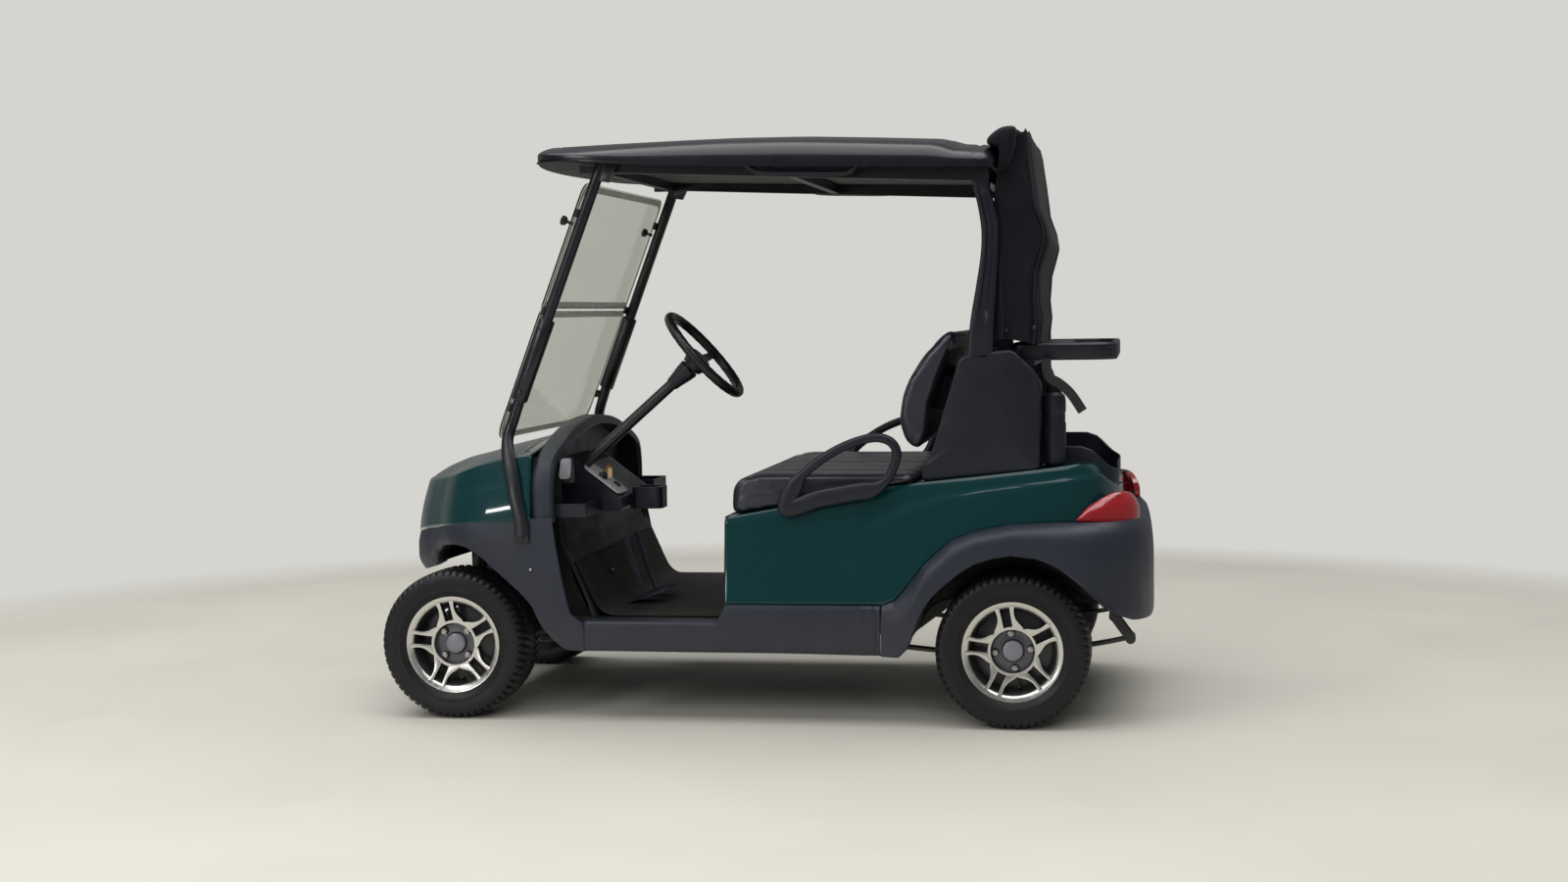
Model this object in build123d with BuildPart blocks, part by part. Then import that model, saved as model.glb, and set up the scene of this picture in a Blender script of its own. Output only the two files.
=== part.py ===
"""Two-seat golf cart, modelled as an assembly of separate pieces.

Row frame, millimetres: +X forward, +Y to the driver's side, +Z up.  The origin lies on the
ground at the middle of the overall length and width.  Profiles seen from the side are drawn
on planes through an axle, so their first number is the distance ahead of that axle.
"""

import math
import os

from build123d import *

os.makedirs("parts", exist_ok=True)

# ---------------------------------------------------------------- overall
WHEELBASE = 1664.0
NOSE_OVERHANG = 260.0            # front axle to the nose of the bumper
TAIL_OVERHANG = 400.0            # rear axle to the tail of the fenders
LENGTH = WHEELBASE + NOSE_OVERHANG + TAIL_OVERHANG
REAR_X = TAIL_OVERHANG - LENGTH / 2       # rear axle
FRONT_X = REAR_X + WHEELBASE              # front axle
WALL = 6.0                       # moulded panels
SEAM = 0.3                       # gap between pieces that rest on each other
SIDES = {"left": 1, "right": -1}

# ---------------------------------------------------------------- wheels
TYRE_R = 222.0
TYRE_W = 196.0
RIM_LIP_R = 144.5
RIM_BEAD_R = 127.0
RIM_WALL = 7.0
RIM_W = 170.0                    # over both lips
SPOKES = 5
SPOKE_BAR = 13.0                 # width of one bar of a twin spoke
SPOKE_SLOT = 22.0                # gap between the two bars of a twin
SPOKE_DEPTH = 24.0
HUB_CUP_R = 62.0
HUB_RECESS = 40.0                # hub face behind the outer lip
LUG_PCD = 101.6
LUG_COUNT = 4
LUG_R = 9.0
CAP_R = 31.0
TREAD_FLAT = 74.0                # half width of the flat of the tread
FRONT_WHEEL_Y = 473.0            # middle of the front tyre
REAR_WHEEL_Y = 488.0             # middle of the rear tyre
AXLE_Z = TYRE_R

# ---------------------------------------------------------------- body
BODY_HALF_W = 578.0              # sills and front fenders
FENDER_FLARE = 22.0              # rear fenders stand out this far from the sills
FENDER_HALF_W = BODY_HALF_W + FENDER_FLARE
FLOOR_Z = 300.0
SILL_BOTTOM_Z = 210.0
SILL_STEP_Z = 352.0              # top of the sill below the seat
SILL_IN_Y = 505.0
COWL_X = -314.0                  # arch of the cowl, from the front axle
SEAT_FRONT_X = 835.0             # front of the seat box, from the rear axle
FLOOR_FRONT_X = WHEELBASE - 428  # bend between the floor and the toe board, from the rear axle
RAIL_Y = 150.0
RAIL_W = 50.0
RAIL_H = 70.0
RAIL_Z = 207.0
RAIL_RISE = 105.0                # rise of the rails over the rear axle
SPRING_EYE_X = 345.0             # front eye of the leaf springs, from the rear axle
SPRING_EYE_R = 15.0
SHOCK_TOP_Z = 478.0

# ---------------------------------------------------------------- steering
KINGPIN_Y = 362.0
STEER_ARM = 110.0                # kingpin to the tie rod end
STEER_ARM_IN = 18.0              # tie rod end inboard of the kingpin
RACK_HOUSING_R = 22.0
RACK_Z = RAIL_Z - RACK_HOUSING_R - SEAM
STEER_Y = 290.0
STEER_HUB_X = WHEELBASE - 726    # middle of the steering wheel, from the rear axle
STEER_HUB_Z = 1072.0
STEER_TILT = 41.0                # column above the horizontal
STEER_R = 153.0                  # middle of the rim's tube
STEER_GRIP_R = 14.5
COLUMN_R = 17.0
SHAFT_R = 10.0

# ---------------------------------------------------------------- roof
ROOF_TOP_Z = 1744.0              # crown of the roof
ROOF_FRONT_X = WHEELBASE - 194   # from the rear axle
ROOF_REAR_X = 40.0
STRUT_R = 16.0
# axis of a front strut from the side: top, knee and foot
STRUT_TOP = (WHEELBASE - 460, ROOF_TOP_Z - 137)
STRUT_KNEE = (WHEELBASE - 167, 843)
STRUT_FOOT = (WHEELBASE - 231, 604)
ROOF_TUBE = 25.0                 # square rails of the roof frame
SUPPORT_Y = BODY_HALF_W - 100    # outer face of the rear supports
ROOF_TUBE_Y = SUPPORT_Y - 8      # the roof's rails stand on the posts of the supports
ROOF_OVERHANG = 100.0            # the roof stands out from its rails this far
ROOF_HALF_W = ROOF_TUBE_Y + ROOF_OVERHANG
STRUT_TOP_Y = ROOF_TUBE_Y + 23
STRUT_KNEE_Y = BODY_HALF_W - 73
STRUT_FOOT_Y = BODY_HALF_W + 2


def side(y=0.0, x=None):
    """Plane across the cart at y: sketch x runs forward from x, sketch y up; it extrudes to -Y."""
    return Plane(origin=(REAR_X if x is None else x, y, 0), x_dir=(1, 0, 0), z_dir=(0, -1, 0))


def across(x):
    """Plane facing forward at x: sketch x is +Y, sketch y is up; it extrudes to +X."""
    return Plane(origin=(x, 0, 0), x_dir=(0, 1, 0), z_dir=(1, 0, 0))


def finish(piece, name):
    """Names a finished piece and writes its file."""
    piece.label = name
    export_step(piece, f"parts/{name}.step")


# ================================================================ wheels
WHEELS = [
    # name, axle x, middle y, side, turn of the spokes
    ("front_left", FRONT_X, FRONT_WHEEL_Y, 1, 79.0),
    ("front_right", FRONT_X, FRONT_WHEEL_Y, -1, 79.0),
    ("rear_left", REAR_X, REAR_WHEEL_Y, 1, 83.0),
    ("rear_right", REAR_X, REAR_WHEEL_Y, -1, 83.0),
]
FACE_Y = RIM_W / 2               # outer lip, from the middle of the wheel
WINDOW_OUT_R = RIM_BEAD_R - 9
WINDOW_IN_R = HUB_CUP_R + 9
BARREL_R = RIM_BEAD_R - 10

for name, axle_x, mid_y, s, turn in WHEELS:
    centre = (axle_x, s * mid_y, AXLE_Z)
    spin = Axis(centre, (0, 1, 0))
    section = Plane(origin=centre, x_dir=(1, 0, 0), z_dir=(0, 0, s))
    face = Plane(origin=centre, x_dir=(1, 0, 0), z_dir=(0, s, 0))

    with BuildPart() as tyre:
        with BuildSketch(section):
            with BuildLine():
                half = TYRE_W / 2
                Polyline(
                    (RIM_BEAD_R + SEAM, FACE_Y - 24), (RIM_BEAD_R + SEAM, FACE_Y - 9),
                    (RIM_LIP_R + SEAM, FACE_Y - 5.5), (RIM_LIP_R + 22, half - 2), (TYRE_R - 34, half),
                    (TYRE_R - 9, half - 9), (TYRE_R, TREAD_FLAT), (TYRE_R, -TREAD_FLAT),
                    (TYRE_R - 9, 9 - half), (TYRE_R - 34, -half), (RIM_LIP_R + 22, 2 - half),
                    (RIM_LIP_R + SEAM, 5.5 - FACE_Y), (RIM_BEAD_R + SEAM, 9 - FACE_Y),
                    (RIM_BEAD_R + SEAM, 24 - FACE_Y), (RIM_LIP_R + 6, 20 - FACE_Y),
                    (TYRE_R - 26, -half + 16), (TYRE_R - 22, 0), (TYRE_R - 26, half - 16),
                    (RIM_LIP_R + 6, FACE_Y - 20), close=True,
                )
            make_face()
        revolve(axis=spin)
    finish(tyre.part, f"tyre_{name}")

    with BuildPart() as rim:
        with BuildSketch(section):
            with BuildLine():
                Polyline(
                    (RIM_LIP_R, FACE_Y), (RIM_LIP_R, FACE_Y - 5), (RIM_BEAD_R, FACE_Y - 8.5),
                    (RIM_BEAD_R, FACE_Y - 26), (BARREL_R, FACE_Y - 42), (BARREL_R, 36 - FACE_Y),
                    (RIM_BEAD_R, 26 - FACE_Y), (RIM_BEAD_R, 8.5 - FACE_Y), (RIM_LIP_R, 5 - FACE_Y),
                    (RIM_LIP_R, -FACE_Y), (RIM_LIP_R - 5, -FACE_Y), (RIM_BEAD_R - RIM_WALL, 10 - FACE_Y),
                    (RIM_BEAD_R - RIM_WALL, 24 - FACE_Y), (BARREL_R - RIM_WALL, 38 - FACE_Y),
                    (BARREL_R - RIM_WALL, FACE_Y - 34), (WINDOW_IN_R, FACE_Y - 8 - SPOKE_DEPTH),
                    (HUB_CUP_R, FACE_Y - HUB_RECESS - 22), (0, FACE_Y - HUB_RECESS - 22),
                    (0, FACE_Y - 20), (CAP_R - 4, FACE_Y - 20), (CAP_R, FACE_Y - 25),
                    (CAP_R, FACE_Y - HUB_RECESS), (HUB_CUP_R, FACE_Y - HUB_RECESS),
                    (HUB_CUP_R + 4, FACE_Y - 14), (WINDOW_OUT_R, FACE_Y - 5), close=True,
                )
            make_face()
        revolve(axis=spin)
        with BuildSketch(face.offset(FACE_Y)):
            with PolarLocations((WINDOW_IN_R + WINDOW_OUT_R) / 2, SPOKES, start_angle=-s * turn):
                Rectangle(WINDOW_OUT_R - WINDOW_IN_R - 5, SPOKE_SLOT)
            wide = 180 / SPOKES - math.degrees((SPOKE_SLOT / 2 + SPOKE_BAR) / WINDOW_OUT_R) - 1
            for i in range(SPOKES):
                a = -s * turn + (i + 0.5) * 360 / SPOKES
                with BuildLine():
                    rim_arc = CenterArc((0, 0), WINDOW_OUT_R - 1.5, a - wide, 2 * wide)
                    deep = PolarLine((0, 0), WINDOW_IN_R + 4, a, mode=Mode.PRIVATE) @ 1
                    ThreePointArc(rim_arc @ 1, deep, rim_arc @ 0)
                make_face()
        extrude(amount=-HUB_RECESS - 20, mode=Mode.SUBTRACT)
        with BuildSketch(face.offset(FACE_Y - HUB_RECESS)):
            with PolarLocations(LUG_PCD / 2, LUG_COUNT, start_angle=45):
                RegularPolygon(LUG_R, 6)
        extrude(amount=12)
    finish(rim.part, f"rim_{name}")

# hubs and drums turn with the wheels
DRUM_R = 85.0
DRUM_W = 45.0
HUB_R = 48.0
HUB_BACK_Y = FACE_Y - HUB_RECESS - 22          # back of the rim's centre, from the middle
SPINDLE_R = 14.0
for name, axle_x, mid_y, s, turn in WHEELS:
    centre = (axle_x, s * mid_y, AXLE_Z)
    face = Plane(origin=centre, x_dir=(1, 0, 0), z_dir=(0, s, 0))
    rear = name.startswith("rear")
    with BuildPart() as hub:
        with BuildSketch(face.offset(HUB_BACK_Y)):
            Circle(DRUM_R if rear else HUB_R)
        extrude(amount=-DRUM_W)
        with BuildSketch(face.offset(HUB_BACK_Y - DRUM_W)):
            Circle(SPINDLE_R + SEAM)
        extrude(amount=DRUM_W - 8, mode=Mode.SUBTRACT)
    finish(hub.part, f"{'drum' if rear else 'hub'}_{name}")

# ================================================================ chassis
with BuildPart() as chassis_frame:
    for s in SIDES.values():
        with BuildSketch(side(s * RAIL_Y + RAIL_W / 2)):
            with BuildLine():
                Polyline(
                    (WHEELBASE + 150, RAIL_Z + 40), (WHEELBASE + 60, RAIL_Z), (330, RAIL_Z),
                    (190, RAIL_Z + RAIL_RISE), (-330, RAIL_Z + RAIL_RISE),
                    (-330, RAIL_Z + RAIL_RISE + RAIL_H),
                    (160, RAIL_Z + RAIL_RISE + RAIL_H), (300, RAIL_Z + RAIL_H),
                    (WHEELBASE + 60, RAIL_Z + RAIL_H), (WHEELBASE + 150, RAIL_Z + 40 + RAIL_H),
                    close=True,
                )
            make_face()
        extrude(amount=RAIL_W)
    # cross members, each a box between or across the rails
    CROSS = [
        # ahead of rear axle, low z, length, height, half width
        (WHEELBASE - 424, FLOOR_Z - 8 - 15 - SEAM, 50, 15, SILL_IN_Y - 5),
        (SEAT_FRONT_X + 25, FLOOR_Z - 8 - 15 - SEAM, 50, 15, SILL_IN_Y - 5),
        (SPRING_EYE_X + SPRING_EYE_R + SEAM + 20, RAIL_Z, 40, 50, 365),
        (-305, RAIL_Z + RAIL_RISE, 50, 50, 365),
        (WHEELBASE, RAIL_Z + 15, 60, 50, RAIL_Y),
        (WHEELBASE, RAIL_Z + RAIL_H, 120, 45, RAIL_Y + RAIL_W / 2),
        (WHEELBASE, SHOCK_TOP_Z, 60, 20, 310),
        (0, SHOCK_TOP_Z, 60, 14, 290),
    ]
    for x, z, length, height, half_w in CROSS:
        with BuildSketch(side(half_w)):
            with Locations((x, z + height / 2)):
                Rectangle(length, height)
        extrude(amount=2 * half_w)
    # posts from the rails up to the shock absorbers' cross members
    for x, low in ((WHEELBASE, RAIL_Z + RAIL_H), (0, RAIL_Z + RAIL_RISE + RAIL_H)):
        for s in SIDES.values():
            with BuildSketch(Plane(origin=(REAR_X + x, s * RAIL_Y, low - 5))):
                Rectangle(40, 30)
            extrude(amount=SHOCK_TOP_Z + 5 - low + 5)
finish(chassis_frame.part, "chassis_frame")

BATTERY_H = 285.0
with BuildPart() as battery_pack:
    with BuildSketch(Plane(origin=(REAR_X, 0, RAIL_Z + RAIL_H + SEAM))):
        with Locations((590, 0)):
            Rectangle(400, 640)
    extrude(amount=BATTERY_H)
finish(battery_pack.part, "battery_pack")

# drive: axle tubes, differential and motor, carried by the two leaf springs
AXLE_TUBE_R = 32.0
REAR_HUB_IN_Y = REAR_WHEEL_Y + HUB_BACK_Y - DRUM_W     # inner face of a rear drum
with BuildPart() as transaxle:
    with BuildSketch(side(REAR_HUB_IN_Y - 6)):
        with Locations((0, AXLE_Z)):
            Circle(AXLE_TUBE_R)
    extrude(amount=2 * (REAR_HUB_IN_Y - 6))
    with BuildSketch(side(70)):
        with Locations((0, AXLE_Z)):
            Circle(88)
    extrude(amount=110)
    with BuildSketch(side(-40)):
        with Locations((100, AXLE_Z)):
            Circle(82)
        with Locations((40, AXLE_Z)):
            Rectangle(120, 90)
    extrude(amount=70)
    for s in SIDES.values():
        with BuildSketch(Plane(origin=(REAR_X, s * (REAR_HUB_IN_Y - 6), AXLE_Z), z_dir=(0, s, 0))):
            Circle(DRUM_R - 4)
        extrude(amount=-4)
        with BuildSketch(Plane(origin=(REAR_X, s * (REAR_HUB_IN_Y - 6), AXLE_Z), z_dir=(0, s, 0))):
            Circle(SPINDLE_R)
        extrude(amount=DRUM_W - 6)
finish(transaxle.part, "transaxle")

SPRING_Y = 335.0
SPRING_W = 45.0
SPRING_T = 9.0
SPRING_TOP_Z = AXLE_Z - AXLE_TUBE_R - SEAM
SHACKLE_TOP_Z = RAIL_Z + RAIL_RISE - SPRING_EYE_R - SEAM
with BuildPart() as leaf_springs:
    for s in SIDES.values():
        with BuildSketch(side(s * SPRING_Y + SPRING_W / 2)):
            with BuildLine():
                up = ThreePointArc((SPRING_EYE_X, 203), (0, SPRING_TOP_Z), (-322, 236))
                Line(up @ 1, (-322, 236 - SPRING_T))
                down = ThreePointArc(
                    (-322, 236 - SPRING_T), (0, SPRING_TOP_Z - SPRING_T), (SPRING_EYE_X, 203 - SPRING_T)
                )
                Line(down @ 1, up @ 0)
            make_face()
            with Locations((SPRING_EYE_X, 203 - SPRING_T / 2), (-330, 236 - SPRING_T / 2)):
                Circle(SPRING_EYE_R)
            with Locations((0, SPRING_TOP_Z - SPRING_T - 8)):
                Rectangle(110, 16)
        extrude(amount=SPRING_W)
finish(leaf_springs.part, "leaf_springs")


with BuildPart() as spring_shackles:
    for s in SIDES.values():
        for y in (s * SPRING_Y + SPRING_W / 2 + 6 + SEAM, s * SPRING_Y - SPRING_W / 2 - SEAM):
            with BuildSketch(side(y)):
                with BuildLine():
                    Line((-330, 236 - SPRING_T / 2), (-283, SHACKLE_TOP_Z))
                trace(line_width=26)
                with Locations((-330, 236 - SPRING_T / 2), (-283, SHACKLE_TOP_Z)):
                    Circle(SPRING_EYE_R)
            extrude(amount=6)
finish(spring_shackles.part, "spring_shackles")

# ================================================================ floor and sills
with BuildPart() as floor_pan:
    with BuildSketch(side(SILL_IN_Y - SEAM)):
        with BuildLine():
            Polyline(
                (SEAT_FRONT_X - 40, FLOOR_Z - 8), (FLOOR_FRONT_X, FLOOR_Z - 8), (FLOOR_FRONT_X + 102, 520),
                (FLOOR_FRONT_X + 110, 600), (FLOOR_FRONT_X + 102, 600), (FLOOR_FRONT_X + 94, 522),
                (FLOOR_FRONT_X - 4, FLOOR_Z), (SEAT_FRONT_X - 40, FLOOR_Z), close=True,
            )
        make_face()
    extrude(amount=2 * (SILL_IN_Y - SEAM))
finish(floor_pan.part, "floor_pan")

MAT_T = 5.0
with BuildPart() as floor_mat:
    with BuildSketch(side(SILL_IN_Y - 25)):
        with BuildLine():
            Polyline(
                (SEAT_FRONT_X + 5, FLOOR_Z + SEAM), (FLOOR_FRONT_X - 8, FLOOR_Z + SEAM),
                (FLOOR_FRONT_X + 66, FLOOR_Z + 160), (FLOOR_FRONT_X + 61, FLOOR_Z + 162),
                (FLOOR_FRONT_X - 11, FLOOR_Z + SEAM + MAT_T),
                (SEAT_FRONT_X + 5, FLOOR_Z + SEAM + MAT_T), close=True,
            )
        make_face()
    extrude(amount=2 * (SILL_IN_Y - 25))
finish(floor_mat.part, "floor_mat")

SILL_FRONT_X = WHEELBASE - 414
SILL_REAR_X = 376.0
with BuildPart() as side_sills:
    for s in SIDES.values():
        with BuildSketch(side(s * (SILL_IN_Y + BODY_HALF_W) / 2 + (BODY_HALF_W - SILL_IN_Y) / 2)):
            with BuildLine():
                Polyline(
                    (SILL_FRONT_X, SILL_BOTTOM_Z), (SILL_REAR_X, SILL_BOTTOM_Z - 4),
                    (SILL_REAR_X, SILL_STEP_Z), (SEAT_FRONT_X + 2, SILL_STEP_Z),
                    (SEAT_FRONT_X + 30, FLOOR_Z + 5), (SILL_FRONT_X, FLOOR_Z + 5), close=True,
                )
            make_face()
        extrude(amount=BODY_HALF_W - SILL_IN_Y)
        # hollow, open below and inboard
        middle, half = (SILL_IN_Y + BODY_HALF_W - WALL) / 2, (BODY_HALF_W - SILL_IN_Y - WALL) / 2
        with BuildSketch(side(s * middle + half)):
            with BuildLine():
                Polyline(
                    (SILL_FRONT_X, SILL_BOTTOM_Z - 10), (SILL_REAR_X + WALL, SILL_BOTTOM_Z - 10),
                    (SILL_REAR_X + WALL, SILL_STEP_Z - WALL), (SEAT_FRONT_X, SILL_STEP_Z - WALL),
                    (SEAT_FRONT_X + 28, FLOOR_Z + 5 - WALL), (SILL_FRONT_X, FLOOR_Z + 5 - WALL), close=True,
                )
            make_face()
        extrude(amount=BODY_HALF_W - SILL_IN_Y - WALL, mode=Mode.SUBTRACT)
finish(side_sills.part, "side_sills")

# ================================================================ front body
COWL_HALF_W = BODY_HALF_W - 16
NOSE_HALF_W = BODY_HALF_W - 178  # half width of the bowed front of the bumper


def front_plan(inset=0.0, back=-420.0):
    """Outline of the front body from above, from x = front axle + back to the nose."""
    nose = NOSE_OVERHANG - inset
    w = BODY_HALF_W - inset
    with BuildLine() as line:
        corner = NOSE_HALF_W - inset / 2
        tip = ThreePointArc((nose - 150, -corner), (nose, 0), (nose - 150, corner))
        left = Line(tip @ 1, (20 - inset, w - 12))
        left2 = Line(left @ 1, (-120, w))
        back_left = Line(left2 @ 1, (back, w))
        across_back = Line(back_left @ 1, (back, -w))
        right2 = Line(across_back @ 1, (-120, -w))
        right = Line(right2 @ 1, (20 - inset, 12 - w))
        Line(right @ 1, tip @ 0)
    return line


FRONT = Plane(origin=(FRONT_X, 0, 0))
SHOULDER = 14.0                  # the fascia's sides round in this far at their top
FASCIA_TOP = [(NOSE_OVERHANG + 20, 519), (130, 561), (-64, 590), (-214, 600)]


def fascia_form(inset, back):
    """The fascia's outside from above and from the front, moved inward by inset."""
    w = BODY_HALF_W - inset
    with BuildPart() as form:
        with BuildSketch(FRONT.offset(180)):
            with BuildLine():
                add(front_plan(inset, back).line)
            make_face()
        extrude(amount=500)
        with BuildSketch(across(FRONT_X - 500)):
            with BuildLine():
                left = ThreePointArc((w, 430), (w - SHOULDER / 3, 530), (w - SHOULDER, 604))
                right = ThreePointArc((-w, 430), (SHOULDER / 3 - w, 530), (SHOULDER - w, 604))
                Polyline(left @ 1, (w - SHOULDER, 700), (SHOULDER - w, 700), right @ 1)
                Polyline(left @ 0, (w, 150), (-w, 150), right @ 0)
            make_face()
        extrude(amount=900, mode=Mode.INTERSECT)
    return form.part


with BuildPart() as front_fascia:
    add(fascia_form(0, -430))
    with BuildSketch(side(700, FRONT_X)):
        with BuildLine():
            Polyline(
                *FASCIA_TOP, (-250, 600), (-318, 600), (-329, 523), (-349, 412), (-370, 318),
                (-414, 300), (-414, SILL_BOTTOM_Z), (-352, SILL_BOTTOM_Z), (-317, 241), (-276, 288),
                (-264, 329),
            )
            rise = ThreePointArc((-264, 329), (-135, 453), (-17, 520))
            brow = Line(rise @ 1, (60, 520))
            drop = ThreePointArc(brow @ 1, (110, 500), (134, 452))
            lip = Line(drop @ 1, (NOSE_OVERHANG - 58, 404))
            curl = ThreePointArc(lip @ 1, (NOSE_OVERHANG - 12, 432), (NOSE_OVERHANG, 486))
            Polyline(curl @ 1, (NOSE_OVERHANG + 20, 486), FASCIA_TOP[0])
        make_face()
    extrude(amount=1400, mode=Mode.INTERSECT)
    add(fascia_form(WALL, -440), mode=Mode.SUBTRACT)
    # notches that the feet of the roof struts stand in
    with BuildSketch(side(700)):
        with Locations((STRUT_FOOT[0] + 2, STRUT_FOOT[1] - 60 + 50)):
            Rectangle(56, 100)
    extrude(amount=1400, mode=Mode.SUBTRACT)
finish(front_fascia.part, "front_fascia")


def hood_solid(inset):
    """The green nose as a closed form, moved inward by inset."""
    top = -inset
    w = BODY_HALF_W - inset
    with BuildPart() as form:
        with BuildSketch(FRONT.offset(500)):
            with BuildLine():
                add(front_plan(inset, -245).line)
            make_face()
        extrude(amount=400, taper=11)
        with BuildSketch(side(700, FRONT_X)):
            with BuildLine():
                Polyline(
                    *[(x, z + SEAM if inset == 0 else z - 40) for x, z in FASCIA_TOP],
                    (-250, 600 + SEAM if inset == 0 else 560), (-250, 838 + top),
                    (-190, 838 + top), (-123, 794 + top), (4, 765 + top), (92, 747 + top),
                    (133, 729 + top), (186, 700 + top), (221 - inset, 682 + top),
                    (NOSE_OVERHANG + 20, 640), close=True,
                )
            make_face()
        extrude(amount=1400, mode=Mode.INTERSECT)
        with BuildSketch(across(FRONT_X - 400)):
            with BuildLine():
                crown = ThreePointArc((118 - w, 776 + top), (0, 845 + top), (w - 118, 776 + top))
                right = ThreePointArc(crown @ 1, (w - 84, 752 + top), (w - 60, 700))
                left = ThreePointArc(crown @ 0, (84 - w, 752 + top), (60 - w, 700))
                Polyline(right @ 1, (w - 34, 590), (w - 22, 480), (22 - w, 480), (34 - w, 590), left @ 1)
            make_face()
        extrude(amount=900, mode=Mode.INTERSECT)
    return form.part


with BuildPart() as front_hood:
    add(hood_solid(0))
    add(hood_solid(WALL), mode=Mode.SUBTRACT)
finish(front_hood.part, "front_hood")


def cowl_outline(inset=0.0, foot=600.0):
    """Arch of the cowl seen from the front."""
    w = COWL_HALF_W - inset
    top = 880 - inset
    with BuildLine() as line:
        left = Line((w, foot), (w, 690 - inset / 2))
        bend = ThreePointArc(left @ 1, (w - 22, 742 - inset), (w - 82, 786 - inset))
        over = ThreePointArc(bend @ 1, (0, top), (82 - w, 786 - inset))
        bend2 = ThreePointArc(over @ 1, (22 - w, 742 - inset), (-w, 690 - inset / 2))
        Line(bend2 @ 1, (-w, foot))
        Line((-w, foot), (w, foot))
    return line


COWL_DEPTH = 64.0
COWL_FLANGE = 26.0
COWL_PLANE = across(FRONT_X + COWL_X)

COWL_ROUND = 10.0                # both faces of the arch round off over this depth
with BuildPart() as cowl_arch:
    for start, amount, lean in (
        (COWL_ROUND, COWL_DEPTH - SEAM - 2 * COWL_ROUND, 0),
        (COWL_ROUND, -COWL_ROUND, 38),
        (COWL_DEPTH - SEAM - COWL_ROUND, COWL_ROUND, 38),
    ):
        with BuildSketch(COWL_PLANE.offset(start)):
            with BuildLine():
                add(cowl_outline(0, 600 + SEAM).line)
            make_face()
        extrude(amount=amount, taper=lean)
    with BuildSketch(COWL_PLANE):
        with BuildLine():
            add(cowl_outline(COWL_FLANGE, 590).line)
        make_face()
    extrude(amount=COWL_DEPTH, mode=Mode.SUBTRACT)
finish(cowl_arch.part, "cowl_arch")

CONSOLE_TOP = (WHEELBASE - 334, 740)      # sloping face of the console, from the side
CONSOLE_LOW = (WHEELBASE - 466, 640)
TRAY_Y = COWL_HALF_W - 128       # middle of a glove tray
CUP_R = 38.0
CUP_DEPTH = 62.0
CUP_X = FRONT_X + COWL_X - 200
CUP_Y = 150.0
CUP_TOP_Z = 662.0
with BuildPart() as dash_panel:
    with BuildSketch(across(FRONT_X + COWL_X + COWL_DEPTH - 10)):
        with BuildLine():
            add(cowl_outline(COWL_FLANGE + SEAM, 600 + SEAM).line)
        make_face()
    extrude(amount=6)
    # glove trays on both sides
    for s in SIDES.values():
        with BuildSketch(Plane(origin=(FRONT_X + COWL_X - 20, s * TRAY_Y, 600 + SEAM))):
            Rectangle(148, 180)
        extrude(amount=6)
        with BuildSketch(Plane(origin=(FRONT_X + COWL_X - 20, s * TRAY_Y, 606 + SEAM))):
            Rectangle(148, 180)
            Rectangle(138, 170, mode=Mode.SUBTRACT)
        extrude(amount=34)
    # middle console with its cup holder
    with BuildSketch(side(STEER_Y + 40)):
        with BuildLine():
            Polyline(
                (WHEELBASE - 260, 600 + SEAM), (WHEELBASE - 260, 760), CONSOLE_TOP, CONSOLE_LOW,
                (CONSOLE_LOW[0] - 8, 612), (CONSOLE_LOW[0] + 2, 600 + SEAM), close=True,
            )
        make_face()
    extrude(amount=STEER_Y + 100)
    with BuildSketch(Plane(origin=(CUP_X, CUP_Y, CUP_TOP_Z - CUP_DEPTH - 5))):
        RectangleRounded(96, 96, 20)
    extrude(amount=CUP_DEPTH + 5)
    with BuildSketch(Plane(origin=(CUP_X + 60, CUP_Y, CUP_TOP_Z - CUP_DEPTH - 5))):
        Rectangle(50, 80)
    extrude(amount=40)
    with Locations(Location((CUP_X, CUP_Y, CUP_TOP_Z))):
        Hole(CUP_R, CUP_DEPTH)
finish(dash_panel.part, "dash_panel")

# ================================================================ rear body
TAIL_X = -362.0                  # tail of the body at its base
BODY_BASE_HALF_W = BODY_HALF_W - 2
BODY_BASE_Z = 250.0
BODY_TAPER = 7.5
WELL_X = -190.0                  # middle of the bag well
WELL_L = 200.0
WELL_W = 700.0
WELL_FLOOR_Z = 502.0
WELL_RIM_Z = 752.0
BODY_DECK_Z = 595.0              # underside of the deck inside the rear body


def rear_plan(inset=0.0):
    """Outline of the rear body from above."""
    w = BODY_BASE_HALF_W - inset
    with BuildLine() as line:
        front = Line((SEAT_FRONT_X + 100, -w), (SEAT_FRONT_X + 100, w))
        left = Line(front @ 1, (60, w))
        left2 = ThreePointArc(left @ 1, (-150, w - 30), (-290, w - 120))
        tail_l = ThreePointArc(left2 @ 1, (TAIL_X + 18 + inset, w - 200), (TAIL_X + inset, 250))
        tail = Line(tail_l @ 1, (TAIL_X + inset, -250))
        tail_r = ThreePointArc(tail @ 1, (TAIL_X + 18 + inset, 200 - w), (-290, 120 - w))
        right2 = ThreePointArc(tail_r @ 1, (-150, 30 - w), (60, -w))
        Line(right2 @ 1, front @ 0)
    return line


REAR = Plane(origin=(REAR_X, 0, 0))
FLARE_TOP = [(SILL_REAR_X - 20, SILL_STEP_Z + SEAM), (297, 414), (248, 477), (177, 537), (107, 566), (1, 585),
             (-104, 588), (-420, 588)]


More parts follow.
